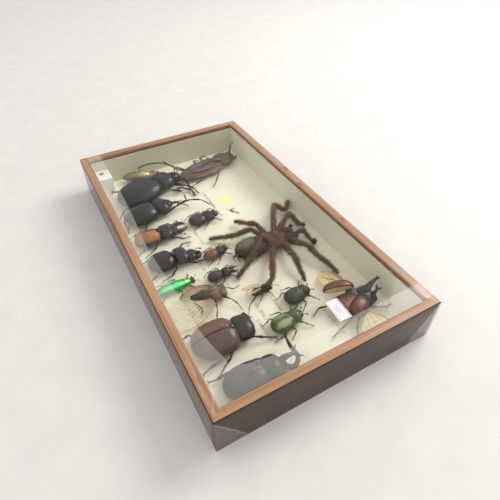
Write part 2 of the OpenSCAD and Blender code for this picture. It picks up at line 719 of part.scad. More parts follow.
front_rail();
back_rail();
left_rail();
right_rail();
corner_nails();
glass_pane();
back_board();
back_brads();
pinning_board();
floor_card();
liner_front();
liner_back();
liner_left();
liner_right();
mothball_box();
mothball();
paper_strips();
price_label();
film_upper();
film_lower();
specimen_pins();
tarantula();
giant_water_bug();
great_black_beetle();
long_armed_beetle();
banded_jewel_beetle();
green_jewel_beetle();
orange_stag_beetle();
black_stag_beetle();
dark_red_beetle();
small_orange_beetle();
small_dark_beetle();
cicada();
cicada_wings();
brown_rhino_beetle();
horned_rhino_beetle();
red_rhino_beetle();
red_rhino_wings();
wasp();
wasp_wings();
dark_green_chafer();
light_green_chafer();
loose_leg();
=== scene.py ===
import math
import random

import bpy
import numpy as np
from mathutils import Matrix, Vector


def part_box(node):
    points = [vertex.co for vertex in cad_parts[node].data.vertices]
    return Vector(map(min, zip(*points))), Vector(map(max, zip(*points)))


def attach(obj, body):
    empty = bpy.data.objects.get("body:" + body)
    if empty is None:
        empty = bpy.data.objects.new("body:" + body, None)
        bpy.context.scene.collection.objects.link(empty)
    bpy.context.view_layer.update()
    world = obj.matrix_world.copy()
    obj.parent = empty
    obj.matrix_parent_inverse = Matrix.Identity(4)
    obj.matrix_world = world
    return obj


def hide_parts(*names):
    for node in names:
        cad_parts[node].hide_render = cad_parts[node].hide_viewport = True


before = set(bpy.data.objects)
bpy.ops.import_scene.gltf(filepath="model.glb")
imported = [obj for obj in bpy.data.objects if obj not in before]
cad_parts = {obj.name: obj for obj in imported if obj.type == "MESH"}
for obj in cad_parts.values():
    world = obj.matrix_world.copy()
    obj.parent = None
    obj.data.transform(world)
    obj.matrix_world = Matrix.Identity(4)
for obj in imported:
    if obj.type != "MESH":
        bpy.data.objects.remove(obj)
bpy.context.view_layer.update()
scene = bpy.context.scene
scene.view_settings.view_transform = "Standard"

# ---- The view ----
# The camera stands over the front left corner and looks down across the glass, from the
# height at which someone leans over a case that lies on a table.
yaw, pitch, roll = (math.radians(angle) for angle in (29.535, 43.403, 0.27))
ahead = Vector((math.sin(yaw) * math.cos(pitch), math.cos(yaw) * math.cos(pitch), -math.sin(pitch)))
level = Vector((math.cos(yaw), -math.sin(yaw), 0))
upward = level.cross(ahead)
right = math.cos(roll) * level + math.sin(roll) * upward
above = math.cos(roll) * upward - math.sin(roll) * level
camera = bpy.data.objects.new("camera", bpy.data.cameras.new("camera"))
camera.data.lens, camera.data.sensor_width = 30.15, 36
camera.matrix_world = Matrix.LocRotScale(
    Vector((-0.14351, -0.3017, 0.31452)), Matrix((right, above, -ahead)).transposed(), None)
scene.collection.objects.link(camera)
scene.camera = camera


# ---- The table top and the studio light ----
# A plain pale table top. One wide soft lamp hangs to the right of the case, so that shadows
# fall to the left, and the rest of the light comes evenly from the whole room.
def tint(red, green, blue):
    """A colour as it is seen, 0 to 255, in the renderer's linear scale."""
    return tuple((c / 255 / 12.92) if c < 11 else ((c / 255 + 0.055) / 1.055) ** 2.4
                 for c in (red, green, blue)) + (1,)


def node(tree, kind, inputs=None, **settings):
    """A new shader node. Each input takes a value, or the output that is joined to it."""
    made = tree.nodes.new("ShaderNode" + kind)
    for key, value in settings.items():
        setattr(made, key, value)
    for key, value in (inputs or {}).items():
        if isinstance(value, bpy.types.NodeSocket):
            tree.links.new(value, made.inputs[key])
        else:
            made.inputs[key].default_value = value
    return made


def finish(name, dark, pale, grain=400, stretch=(1, 1, 1), rough=(0.4, 0.55), bump=0.15,
           fine=4, **fixed):
    """A finish whose colour and gloss wander between two shades, with a fine tooth on it.

    grain is the scale of the wandering and fine times that the scale of the tooth. fixed
    holds constants for the shader, such as Coat_Weight.
    """
    made = bpy.data.materials.new(name)
    made.use_nodes = True
    tree = made.node_tree
    shader = tree.nodes["Principled BSDF"]
    place = node(tree, "TexCoord").outputs["Object"]
    place = node(tree, "Mapping", {"Vector": place, "Scale": stretch}).outputs["Vector"]
    cloud = node(tree, "TexNoise", {"Vector": place, "Scale": grain, "Detail": 6, "Roughness": 0.6})
    shades = node(tree, "ValToRGB", {"Fac": cloud.outputs["Fac"]}, name="shades")
    for stop, where, colour in zip(shades.color_ramp.elements, (0.3, 0.7), (dark, pale)):
        stop.position, stop.color = where, tint(*colour)
    gloss = node(tree, "MapRange", {"Value": cloud.outputs["Fac"], "To Min": rough[0], "To Max": rough[1]})
    tooth = node(tree, "TexNoise", {"Vector": place, "Scale": grain * fine, "Detail": 3})
    relief = node(tree, "Bump", {"Height": tooth.outputs["Fac"], "Strength": bump, "Distance": 0.0004})
    for socket, source in (("Base Color", shades.outputs["Color"]), ("Roughness", gloss.outputs["Result"]),
                           ("Normal", relief.outputs["Normal"])):
        tree.links.new(source, shader.inputs[socket])
    for socket, value in fixed.items():
        shader.inputs[socket.replace("_", " ")].default_value = value
    return made


def build(name, verts, faces, material, smooth=True, slot=None):
    """An object from points in metres. With a slot it is a piece of the case and rides on it."""
    mesh = bpy.data.meshes.new(name)
    mesh.from_pydata([tuple(v) for v in verts], [], faces)
    mesh.materials.append(material)
    if smooth:
        mesh.polygons.foreach_set("use_smooth", [True] * len(mesh.polygons))
    mesh.update()
    thing = bpy.data.objects.new(name, mesh)
    scene.collection.objects.link(thing)
    if slot:
        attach(thing, "root")
    return thing


table_top = build("table_top", [(-5, -5, 0), (5, -5, 0), (5, 5, 0), (-5, 5, 0)], [(0, 1, 2, 3)],
                  finish("pale_table", (214, 213, 210), (222, 221, 218), 30, rough=(0.55, 0.7)))

room = bpy.data.worlds.new("room")
scene.world = room
room.use_nodes = True
walls = room.node_tree.nodes["Background"]
walls.inputs["Color"].default_value = (1, 0.985, 0.96, 1)
seen = node(room.node_tree, "LightPath").outputs["Is Camera Ray"]
glow = node(room.node_tree, "MapRange", {"Value": seen, "To Min": 0.89, "To Max": 1})
room.node_tree.links.new(glow.outputs["Result"], walls.inputs["Strength"])

light = bpy.data.lights.new("soft_lamp", "AREA")
light.shape, light.size, light.energy, light.color = "DISK", 0.8, 15, (1, 0.97, 0.93)
lamp = bpy.data.objects.new("soft_lamp", light)
lamp.location = (1.15, 0.1, 1.05)
lamp.rotation_euler = (-lamp.location).to_track_quat("-Z", "Y").to_euler()
scene.collection.objects.link(lamp)


# ---- The four rails ----
# Straight pine, planed, rubbed with a thin varnish on top and stained dark on the outer
# sides, the front and back sides painted darker still as painted shade. Each end is cut to a
# mitre, glued and nailed. The right rail has a few knots.
HALF_WIDE, HALF_LONG = 0.105, 0.186  # the frame from its middle to its outer sides


def shade(tree, over, fac, colour, kind="MIX"):
    """Lays a colour over another by a mask and hands on the result."""
    return node(tree, "Mix", {"Factor": fac, "A": over, "B": tint(*colour)},
                data_type="RGBA", blend_type=kind).outputs["Result"]


def where_in(tree):
    """The place on the object, as the finish reads it."""
    return tree.nodes["Texture Coordinate"].outputs["Object"]


def streaks(tree, scale, run, low, high, amount, skew=0.0):
    """A mask of long thin streaks in the grain."""
    place = node(tree, "Mapping", {"Vector": where_in(tree), "Scale": run, "Location": (skew, skew, skew)})
    cloud = node(tree, "TexNoise", {"Vector": place.outputs["Vector"], "Scale": scale, "Detail": 5,
                                    "Distortion": 0.6})
    return node(tree, "MapRange", {"Value": cloud.outputs["Fac"], "From Min": low, "From Max": high,
                                   "To Max": amount}, interpolation_type="SMOOTHSTEP").outputs["Result"]


def wood(name, along):
    """Pine whose grain runs along x or y: streaked on top, stained down the outer side, with painted shade on
    the front and back sides.
    """
    run, fine = [(pull, 1, 1) if along == "x" else (1, pull, 1) for pull in (0.05, 0.014)]
    made = finish(name, (160, 123, 92), (182, 143, 110), 110, run, (0.36, 0.54), 0.3, 7,
                  Coat_Weight=0.12, Coat_Roughness=0.22, Specular_IOR_Level=0.3)
    tree = made.node_tree
    colour = tree.nodes["shades"].outputs["Color"]
    for streak, ink in (((620, fine, 0.48, 0.64, 0.66), (138, 90, 62)),
                        ((170, fine, 0.53, 0.6, 0.78, 0.31), (136, 90, 70)),
                        ((90, run, 0.6, 0.72, 0.5, 0.77), (186, 136, 108))):
        colour = shade(tree, colour, streaks(tree, *streak), ink)
    place = node(tree, "SeparateXYZ", {"Vector": where_in(tree)})
    # The outer sides are stained; the front and back sides take a darker colour that is painted shade
    for axis, outside, stain in (("X", HALF_WIDE, (140, 110, 86)), ("Y", HALF_LONG, (92, 62, 36))):
        size = node(tree, "Math", {0: place.outputs[axis]}, operation="ABSOLUTE").outputs["Value"]
        past = node(tree, "MapRange", {"Value": size, "From Min": outside - 0.0011,
                                       "From Max": outside - 0.0008}).outputs["Result"]
        colour = shade(tree, colour, past, stain, "MULTIPLY")
    tree.links.new(colour, tree.nodes["Principled BSDF"].inputs["Base Color"])
    return made


def dress(name, material):
    """Give a solid of the model its finish."""
    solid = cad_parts[name]
    solid.data.materials.clear()
    solid.data.materials.append(material)


long_grain, short_grain = wood("pine_long", "y"), wood("pine_short", "x")
for rail, grain in (("left", long_grain), ("right", long_grain), ("front", short_grain),
                    ("back", short_grain)):
    dress(rail + "_rail", grain)

# ---- Back, soft board and fixings ----
# A hardboard back lies in the rebate under the rails, held with brads. Above it lies a soft
# white foam board that the pins go into. The corners are nailed through the long rails.
dress("back_board", finish("hardboard", (112, 84, 56), (138, 106, 74), 260, rough=(0.6, 0.8), bump=0.4))
dress("pinning_board", finish("foam_board", (226, 225, 218), (240, 239, 234), 700, rough=(0.8, 0.95),
                              bump=0.5))
steel = finish("nail_wire", (92, 88, 84), (142, 138, 132), 900, rough=(0.28, 0.5), bump=0.1, Metallic=1)
dress("corner_nails", steel)
dress("back_brads", steel)

# ---- Floor card, wall card and paper strips ----
# Cream card covers the floor, and strips of the same card line the walls, each painted
# darker or lighter as painted shade. Narrow slips of thin paper lie beside the specimens.
card = finish("cream_card", (226, 220, 198), (235, 230, 211), 18, rough=(0.65, 0.8), bump=0.12, fine=60)


def blot(material, x, y, width, length, colour, amount, ragged=0.5):
    """A patch of colour with a ragged edge, soaked into a finish: stains and knots, and painted highlights.
    Its place and size are in metres.
    """
    tree = material.node_tree
    base = tree.nodes["Principled BSDF"].inputs["Base Color"]
    before = base.links[0].from_socket
    where = node(tree, "Mapping", {"Vector": where_in(tree), "Location": (x, y, 0),
                                   "Scale": (width / 2, length / 2, 1)},
                                   vector_type="TEXTURE").outputs["Vector"]
    edge = node(tree, "TexNoise", {"Vector": where, "Scale": 1.7, "Detail": 5})
    flat = node(tree, "VectorMath", {0: where, 1: (1, 1, 0)}, operation="MULTIPLY")
    away = node(tree, "VectorMath", {0: flat.outputs["Vector"]}, operation="LENGTH")
    rim = node(tree, "Math", {0: edge.outputs["Fac"], 1: ragged * 2, 2: away.outputs["Value"]},
               operation="MULTIPLY_ADD")
    soak = node(tree, "MapRange", {"Value": rim.outputs["Value"], "From Min": 1.15 + ragged,
                                   "From Max": 0.55 + ragged, "To Max": amount},
                interpolation_type="SMOOTHSTEP")
    tree.links.new(shade(tree, before, soak.outputs["Result"], colour), base)


# The knots of the rails, then the stains of the card
for x, y, size, colour in ((0.1015, 0.047, 0.004, (110, 72, 48)), (0.099, 0.013, 0.003, (96, 62, 42)),
                           (0.1012, -0.06, 0.0034, (120, 80, 56)), (-0.1, -0.152, 0.003, (150, 104, 78))):
    blot(long_grain, x, y, size, size * 2.6, colour, 0.85, 0.4)
blot(card, 0.035, 0.0725, 0.031, 0.024, (236, 231, 186), 0.9)
blot(card, 0.036, 0.071, 0.024, 0.008, (230, 225, 160), 0.5, 0.8)
blot(card, 0.0075, 0.028, 0.012, 0.012, (233, 227, 188), 0.55, 0.7)
dress("floor_card", card)


# Each wall card has its own tone: painted shade and light for how the light falls on that wall
for wall, dark, pale in (("back", (196, 191, 168), (210, 205, 182)),
                         ("front", (206, 201, 180), (216, 211, 190)),
                         ("left", (200, 196, 176), (212, 207, 188)),
                         ("right", (222, 218, 198), (232, 228, 210))):
    dress("liner_" + wall, finish(wall + "_card", dark, pale, 14, rough=(0.7, 0.85), bump=0.15, fine=70))

slip = finish("thin_paper", (231, 226, 208), (238, 233, 216), 120, rough=(0.6, 0.75), bump=0.1)
dress("paper_strips", slip)
print_ink = finish("print_ink", (104, 94, 74), (134, 120, 96), 1500, rough=(0.6, 0.75), bump=0.05)
INK = 0.00002  # print lies this far above its paper
strip_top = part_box("paper_strips")[1].z + INK
# Each strip: its middle and its length in millimetres, filled with rows of short bars
STRIPS = [(15.8, 81.3, 40), (-27.8, 51.7, 28), (-23.3, 23.8, 26), (-38.6, -2.8, 50), (-27.4, -50.6, 12),
          (-15.3, -95.6, 28), (1.8, -94.4, 26), (-23, -116.2, 28), (-88, -64.5, 16), (36.3, -138.3, 32)]
half_bar, bar_gap = 0.17, 0.75
dice = random.Random(5)
verts, faces = [], []
for x, y, length in STRIPS:
    along = y + length / 2 - 1.2
    while along > y - length / 2 + 1.4:
        for bar in range(dice.choice((1, 2, 2))):
            low, high = dice.uniform(-1.7, -1.2), dice.uniform(1.2, 1.7)
            at = along - bar * bar_gap
            n = len(verts)
            verts += [((x + sx) / 1000, (at + sy) / 1000, strip_top)
                      for sx, sy in ((low, -half_bar), (high, -half_bar), (high, half_bar), (low, half_bar))]
            faces.append((n, n + 1, n + 2, n + 3))
        along -= dice.choice((1.35, 1.5, 1.5, 1.65, 2.9))
build("strip_marks", verts, faces, print_ink, False, "floor_paper")

# ---- Mothball box ----
# A small white card box is glued into the back left corner, with a round hole in its lid
# for the smell of the mothball inside.
white_card = finish("white_card", (226, 226, 222), (238, 238, 235), 60, rough=(0.5, 0.65), bump=0.12, fine=20)
dress("mothball_box", white_card)
dress("mothball", finish("mothball_wax", (222, 222, 216), (240, 240, 236), 500, rough=(0.45, 0.7), bump=0.5))


# ---- Glass ----
# One sheet of thin float glass, slid into a groove under the lip of the rails before the
# last corner was nailed. It is clear, with a soft sheen of the room on it.
def worked(tree, operation, *terms):
    """What a sum of values or outputs comes to."""
    return node(tree, "Math", dict(enumerate(terms)), operation=operation).outputs["Value"]


def clear(name, mirror, rough, bend=0.0, ripple=60, haze=0.0, milk=(236, 233, 224)):
    """A clear sheet: light goes straight through it, less a thin mirror and a little milk."""
    made = bpy.data.materials.new(name)
    made.use_nodes = True
    tree = made.node_tree
    tree.nodes.remove(tree.nodes["Principled BSDF"])
    place = node(tree, "TexCoord").outputs["Object"]
    wave = node(tree, "TexNoise", {"Vector": place, "Scale": ripple, "Detail": 3,
                                   "Distortion": 1.2}).outputs["Fac"]
    relief = node(tree, "Bump", {"Height": wave, "Strength": bend, "Distance": 0.002}).outputs["Normal"]
    through = node(tree, "BsdfTransparent").outputs["BSDF"]
    gloss = node(tree, "BsdfGlossy", {"Roughness": rough, "Normal": relief}).outputs["BSDF"]
    edge = node(tree, "Fresnel", {"IOR": mirror, "Normal": relief}).outputs["Fac"]
    front = worked(tree, "MULTIPLY_ADD", node(tree, "NewGeometry").outputs["Backfacing"], -1, 1)
    skin = node(tree, "MixShader", {"Fac": worked(tree, "MULTIPLY", edge, front), 1: through,
                                    2: gloss}).outputs["Shader"]
    if haze:
        # The milk shows on the front face alone and throws no shadow
        cloud = node(tree, "BsdfDiffuse", {"Color": tint(*milk)}).outputs["BSDF"]
        veil = node(tree, "MapRange", {"Value": wave, "To Min": haze * 0.7,
                                       "To Max": haze * 1.3}).outputs["Result"]
        lit = worked(tree, "MULTIPLY_ADD", node(tree, "LightPath").outputs["Is Shadow Ray"], -1, 1)
        share = worked(tree, "MULTIPLY", worked(tree, "MULTIPLY", veil, front), lit)
        skin = node(tree, "MixShader", {"Fac": share, 1: skin, 2: cloud}).outputs["Shader"]
    tree.links.new(skin, tree.nodes["Material Output"].inputs["Surface"])
    return made


dress("glass_pane", clear("float_glass", 1.2, 0.02, 0.02, 12))

# ---- Shrink film ----
# Thin clear film is wrapped round the case and shrunk tight with warm air, so it bends in a
# small round over the rails. Its two edges lap in a milky strip along the left and the front.
film = clear("shrink_film", 1.14, 0.09, 0.35, 90)
doubled = clear("doubled_film", 1.26, 0.12, 0.3, 45, 0.18, (238, 235, 228))
creased = clear("film_crease", 1.35, 0.2, 0.5, 200, 0.12, (236, 234, 230))
dress("film_lower", film)
film_low, film_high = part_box("film_upper")
# The inner edge of the lap: along the left side as (y, x), along the front as (x, y)
LAP_BY_Y = [(-0.187, -0.0756), (-0.145, -0.0758), (-0.136, -0.0786), (-0.115, -0.0823), (-0.068, -0.0832),
            (-0.005, -0.086), (0.053, -0.0828), (0.084, -0.0817), (0.187, -0.081)]
LAP_BY_X = [(-0.106, -0.151), (-0.0756, -0.151), (-0.066, -0.157), (-0.047, -0.1605), (-0.03, -0.1617),
            (0.106, -0.1612)]
bend = 0.0008  # radius at which the film bends over the rails
lap_cells = 5  # cells of the mesh from the outer edge to the inner edge of the lap


def spread(shares, outer, lip, edge, far):
    """Places across the film: on the rail below 0, in the lap up to 1, over the glass up to 2."""
    return np.where(shares < 0, outer, np.where(shares <= 1, lip + (edge - lip) * shares,
                                                edge + (far - edge) * (shares - 1)))


def film_top():
    """The film over the glass, whose mesh follows the edge of the lap, and the round at its rim."""
    left, right = film_low.x + bend, film_high.x - bend
    front, back = film_low.y + bend + 0.0001, film_high.y - bend
    lip_x, lip_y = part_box("left_rail")[1].x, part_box("front_rail")[1].y
    shares_x, shares_y = [np.concatenate([[-1], np.linspace(0, 1, lap_cells), np.linspace(1, 2, cells)[1:]])
                          for cells in (44, 70)]
    x = np.broadcast_to(np.linspace(left, right, len(shares_x)), (len(shares_y), len(shares_x)))
    y = np.broadcast_to(np.linspace(front, back, len(shares_y))[:, None], x.shape)
    for _ in range(6):
        edge_x, edge_y = np.interp(y, *zip(*LAP_BY_Y)), np.interp(x, *zip(*LAP_BY_X))
        x = spread(shares_x, left, lip_x, edge_x, right)
        y = spread(shares_y[:, None], front, lip_y, edge_y, back)
    fade, depth = 0.012, 0.00011  # it sags by up to twice this depth, and not at its rim
    inside = np.prod([np.clip(gap / fade, 0, 1) for gap in (x - left, right - x, y - front, back - y)],
                     axis=0)
    sag = depth * inside * (np.sin(x * 95 + y * 31) * np.sin(y * 61 - x * 23) - 1)
    flat = np.stack([x, y, film_high.z + sag], -1).reshape(-1, 3)
    rows, cols = x.shape
    number = np.arange(rows * cols).reshape(rows, cols)
    plain, lapped = [], []
    for i in range(rows - 1):
        for k in range(cols - 1):
            cell = (int(number[i, k]), int(number[i, k + 1]), int(number[i + 1, k + 1]),
                    int(number[i + 1, k]))
            (lapped if 0 < min(i, k) < lap_cells else plain).append(cell)
    # The rim bends down over the rails and runs down their outer sides
    loop = np.concatenate([number[0, :-1], number[:-1, -1], number[-1, :0:-1], number[:0:-1, 0]])
    verts, ring, rim = [flat], loop, flat[loop]
    way = np.stack([np.where(np.isclose(rim[:, k], low), -1.0, np.where(np.isclose(rim[:, k], high), 1.0, 0))
                    for k, (low, high) in enumerate(((left, right), (front, back)))], -1)
    count = len(flat)
    steps = [(bend * math.sin(a), bend * (1 - math.cos(a))) for a in np.radians([30, 60, 90])]
    steps += [(bend, drop) for drop in (0.012, 0.023, 0.034, film_high.z - film_low.z)]
    waver = 0.00005  # the sides draw in by this much here and there
    for step, (out, drop) in enumerate(steps):
        wave = waver * np.sin(rim[:, 0] * 300 + rim[:, 1] * 260 + drop * 240) * (3 < step < 6)
        verts.append(np.concatenate([rim[:, :2] + way * (out - np.abs(wave))[:, None],
                                     np.full((len(rim), 1), film_high.z - drop)], 1))
        after = np.arange(len(loop)) + count
        for i in range(len(loop)):
            n = (i + 1) % len(loop)
            plain.append((int(ring[i]), int(after[i]), int(after[n]), int(ring[n])))
        ring, count = after, count + len(loop)
    return np.concatenate(verts), plain, lapped


def wrap(name, verts, faces, material):
    """One stretch of the upper film, with only the points that its faces use."""
    used = sorted({i for face in faces for i in face})
    place = {old: new for new, old in enumerate(used)}
    piece = build(name, [verts[i] for i in used], [tuple(place[i] for i in face) for face in faces],
                  material, slot="wrap_film")
    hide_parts("film_upper")


film_points, plain_faces, lap_faces = film_top()
wrap("film_sheet", film_points, plain_faces, film)
wrap("film_lap", film_points, lap_faces, doubled)
# The spare film at each end of the short sides is folded flat into a triangle
gusset, gusset_rows = 0.026, 9  # its width, and the rows of its mesh
gusset_foot, gusset_rise = 0.0004, 0.0448  # its foot over the underside, and its height
slack = 0.00002  # how far it stands in from the film beside it
row_starts = [sum(gusset_rows - j for j in range(i)) for i in range(gusset_rows + 1)]
for number, (side, end) in enumerate([(-1, -1), (1, -1), (-1, 1), (1, 1)]):
    verts, faces = [], []
    for i in range(gusset_rows):
        for k in range(gusset_rows - i):
            u, v = k / (gusset_rows - 1), i / (gusset_rows - 1)
            y = (film_low.y if end < 0 else film_high.y) + end * -slack * (1 - math.sin(9 * u + 7 * v))
            verts.append((side * (HALF_WIDE - gusset * u), y, film_low.z + gusset_foot + gusset_rise * v))
    for i in range(gusset_rows - 1):
        for k in range(gusset_rows - 1 - i):
            a, b, c = row_starts[i] + k, row_starts[i] + k + 1, row_starts[i + 1] + k
            faces.append((a, b, c) if side * end > 0 else (a, c, b))
            if k < gusset_rows - 2 - i:
                faces.append((b, c + 1, c) if side * end > 0 else (b, c, c + 1))
    wrap(f"film_gusset_{number}", verts, faces,
         clear(f"folded_film_{number}", 1.3, 0.14, 0.5, 120, 0.05, (230, 226, 218)))


def crease(name, points, wide=0.0005):
    """A shrunk fold in the film: a thin flattened ridge that tapers out at both ends."""
    ridge = 0.00012  # its height over the film
    path = [Vector(p) for p in points]
    lines, verts, faces = len(path), [], []
    for i, here in enumerate(path):
        way = (path[min(i + 1, lines - 1)] - path[max(i - 1, 0)]).normalized()
        if here.z > film_high.z - 0.0001:
            out = Vector((0, 0, 1))
        elif abs(here.x) > film_high.x - 0.0005:
            out = Vector((here.x, 0, 0)).normalized()
        else:
            out = Vector((0, here.y, 0)).normalized()
        across = way.cross(out).normalized()
        share = wide * math.sin(math.pi * (0.06 + 0.88 * i / (lines - 1)))
        verts += [here - across * share, here + out * ridge, here + across * share]
        if i:
            a = 3 * (i - 1)
            faces += [(a, a + 1, a + 4, a + 3), (a + 1, a + 2, a + 5, a + 4)]
    build(name, verts, faces, creased, slot="wrap_film")


def between(a, b, steps, sway, seed):
    """Points on a line that wanders a little to the side, as a shrunk fold does."""
    dice = random.Random(seed)
    a, b = Vector(a), Vector(b)
    flat = [i for i in range(3) if abs(a[i] - b[i]) > 1e-6] or [0]
    points = []
    for i in range(steps + 1):
        t = i / steps
        p = a.lerp(b, t)
        for axis in flat:
            p[axis] += sway * math.sin(math.pi * t) * dice.uniform(-1, 1)
        points.append(p)
    return points


top = film_high.z
# Each fold: its two ends and half its width
for number, (a, b, wide) in enumerate([
    ((-0.105, film_low.y, 0.045), (-0.079, film_low.y, 0.001), 0.0009),
    ((0.105, film_low.y, 0.045), (0.079, film_low.y, 0.001), 0.0009),
    ((0.097, film_low.y, 0.044), (0.094, film_low.y, 0.001), 0.0005),
    ((-0.104, -0.184, top), (-0.093, -0.16, top), 0.0006),
    ((-0.104, -0.180, top), (-0.099, -0.13, top), 0.0004),
    ((0.104, -0.184, top), (0.092, -0.163, top), 0.0006),
    ((0.104, 0.184, top), (0.09, 0.167, top), 0.0006),
    ((-0.104, 0.184, top), (-0.09, 0.168, top), 0.0006),
    ((film_high.x, 0.02, 0.044), (film_high.x, 0.035, 0.004), 0.0004),
    ((film_low.x, -0.12, 0.044), (film_low.x, -0.135, 0.006), 0.0004),
    ((film_low.x, 0.06, 0.044), (film_low.x, 0.052, 0.01), 0.0004),
    ((0.03, film_high.y, 0.044), (0.038, film_high.y, 0.006), 0.0004),
]):
    crease(f"film_fold_{number}", between(a, b, 14, 0.0006, number), wide)

# ---- Price label ----
# A small white paper label stuck on the film, with a fine red line along both long edges,
# a notch in the middle of each and plain stamped figures.
label_low, label_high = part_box("price_label")
label_paper = finish("label_paper", (216, 214, 216), (226, 224, 226), 200, rough=(0.45, 0.6), bump=0.08)
dress("price_label", label_paper)
red_ink = finish("red_ink", (196, 66, 60), (214, 92, 84), 900, rough=(0.5, 0.6), bump=0.05)
blue_ink = finish("stamp_ink", (112, 122, 158), (150, 158, 186), 1600, rough=(0.5, 0.6), bump=0.05)
label_turn = math.radians(87.5)
label_mid = (label_low + label_high) / 2


def on_label(u, v):
    """A place on the label: u along it and v across, in millimetres from its middle."""
    return (label_mid.x + (u * math.cos(label_turn) - v * math.sin(label_turn)) / 1000,
            label_mid.y + (u * math.sin(label_turn) + v * math.cos(label_turn)) / 1000, label_high.z + INK)


def inked(name, boxes, ink):
    """Print on the label, one flat box for each stroke."""
    verts, faces = [], []
    for u0, v0, u1, v1 in boxes:
        n = len(verts)
        verts += [on_label(u0, v0), on_label(u1, v0), on_label(u1, v1), on_label(u0, v1)]
        faces.append((n, n + 1, n + 2, n + 3))
    build(name, verts, faces, ink, slot="label_paper")


inked("label_lines", [(u, v * 5.0 - 0.2, u + 4.4, v * 5.0 + 0.2)
                      for u in (-10.3, -5.6, 1.2, 5.9) for v in (-1, 1)], red_ink)
# Each figure is made of bars, as on a stamp: the bars that it uses, and the box of each bar
FIGURES = {"1": "bc", "0": "abcdef", "2": "abged"}
BARS = {"a": (0, 3.6, 1.7, 3.85), "b": (1.45, 1.9, 1.7, 3.8), "c": (1.45, 0, 1.7, 1.9),
        "d": (0, 0, 1.7, 0.25),
        "e": (0, 0, 0.25, 1.9), "f": (0, 1.9, 0.25, 3.8), "g": (0, 1.75, 1.7, 2)}
inked("label_figures", [(BARS[bar][0] - 4.6 + 2.9 * i, BARS[bar][1] - 1.9, BARS[bar][2] - 4.6 + 2.9 * i,
                         BARS[bar][3] - 1.9)
                        for i, figure in enumerate("120") for bar in FIGURES[figure]], blue_ink)

# ---- Specimens: how their parts are shaped ----
# Real dried insects. Each is put together in millimetres in its own place, head along x and
# feet at 0, from domed plates, jointed limbs, horns, hairs and veined wings.
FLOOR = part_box("floor_card")[1].z * 1000


class Specimen:
    """One pinned creature: its parts, kept by finish until it is set in the case.

    turn turns it in the case, and lies is how far its body is turned in its own drawing.
    """

    def __init__(self, name, x, y, turn=0, lies=0):
        self.name, self.x, self.y, self.turn, self.lies = name, x, y, math.radians(turn), lies
        self.parts = {}

    def add(self, finish_name, rings):
        """Rings of equal length become a skin with a fan over each end."""
        rings = np.asarray(rings, float)
        count, sides = rings.shape[:2]
        verts, faces = self.parts.setdefault(finish_name, ([], []))
        base = sum(len(v) for v in verts)
        verts.append(rings.reshape(-1, 3))
        grid = np.arange(count * sides).reshape(count, sides) + base
        after = np.roll(grid, -1, 1)
        quads = np.stack([grid[:-1], after[:-1], after[1:], grid[1:]], -1)
        faces.extend(map(tuple, quads.reshape(-1, 4)[:, ::-1].tolist()))
        faces.append(tuple(grid[0].tolist()))
        faces.append(tuple(grid[-1][::-1].tolist()))

    def plate(self, finish_name, place, size, ends, mesh, carve=None, turn=0, tip=0, lean=0):
        """A domed plate on the body: its length, width, height and depth, then how blunt it ends."""
        self.add(finish_name, turned(dome(*size, *ends, *mesh, carve), self.lies + turn, tip, lean,
                                     on(self.lies, place)))

    def add_faces(self, finish_name, points, cells):
        """Loose faces between points, as of a wing or of hairs."""
        verts, faces = self.parts.setdefault(finish_name, ([], []))
        base = sum(len(v) for v in verts)
        verts.append(np.asarray(points, float).reshape(-1, 3))
        faces.extend(tuple(base + i for i in cell) for cell in cells)

    def settle(self, finishes, slots):
        """Set it in the case: one object for each finish. All eyes share one finish."""
        for part, (verts, faces) in self.parts.items():
            p = np.concatenate(verts)
            c, s = math.cos(self.turn), math.sin(self.turn)
            x, y = c * p[:, 0] - s * p[:, 1] + self.x, s * p[:, 0] + c * p[:, 1] + self.y
            piece = build(f"{self.name}_{part}", np.stack([x, y, p[:, 2] + FLOOR], 1) / 1000, faces,
                          eye_black if part == "eye" else finishes[part],
                          slot=slots.get(part, slots["shell"]))
            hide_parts(self.name)


def turned(rings, angle=0, tip=0, lean=0, to=(0, 0, 0)):
    """Rings turned about z, tipped about y, leant about x, then moved."""
    spin = Matrix.Rotation(math.radians(angle), 3, "Z") @ Matrix.Rotation(math.radians(tip), 3, "Y") \
        @ Matrix.Rotation(math.radians(lean), 3, "X")
    return np.asarray(rings) @ np.array(spin).T + np.array(to, float)


def on(lies, place):
    """A place on a body that lies turned in its own drawing."""
    return turned([[place]], lies)[0, 0]


def dome(length, width, up, down, tail=2.4, head=2.4, rows=30, sides=40, carve=None):
    """A domed plate along x: egg shaped in plan, high above, flatter below.

    tail and head are how blunt its ends are. carve may reshape its points: it is given them,
    how far along they lie (-1 at the tail to 1 at the head) and their angle round the plate.
    """
    t = np.linspace(0.02, 0.98, rows)
    u = -np.cos(np.pi * t)[:, None]
    a = (np.arange(sides) * 2 * np.pi / sides)[None, :]
    swell = np.sqrt(np.maximum(1 - np.abs(u) ** np.where(u < 0, tail, head), 0))
    rise = np.where(np.sin(a) > 0, up, down) * np.sin(a) * swell
    p = np.stack([np.broadcast_to(length / 2 * u, rise.shape), width / 2 * swell * np.cos(a), rise], -1)
    return carve(p, u, a) if carve else p


def wing_cases(width, ribs=7, depth=0.22, seam=0.5, lip=0.35):
    """Carves a pair of wing cases: a seam down the back, fine ribs and a raised edge."""
    def carve(p, u, a):
        over = np.clip(np.sin(a), 0, 1)
        side = np.abs(p[..., 1]) / (width / 2)
        p[..., 2] -= seam * np.exp(-(p[..., 1] / 0.45) ** 2) * over
        p[..., 2] -= depth * over * (0.5 - 0.5 * np.cos(2 * np.pi * ribs * side)) * (side > 0.04)
        edge = np.exp(-((np.sin(a) - 0.02) / 0.09) ** 2)
        p[..., 1] += np.sign(p[..., 1]) * lip * edge * np.sqrt(np.clip(1 - u ** 2, 0, 1))
        return p
    return carve


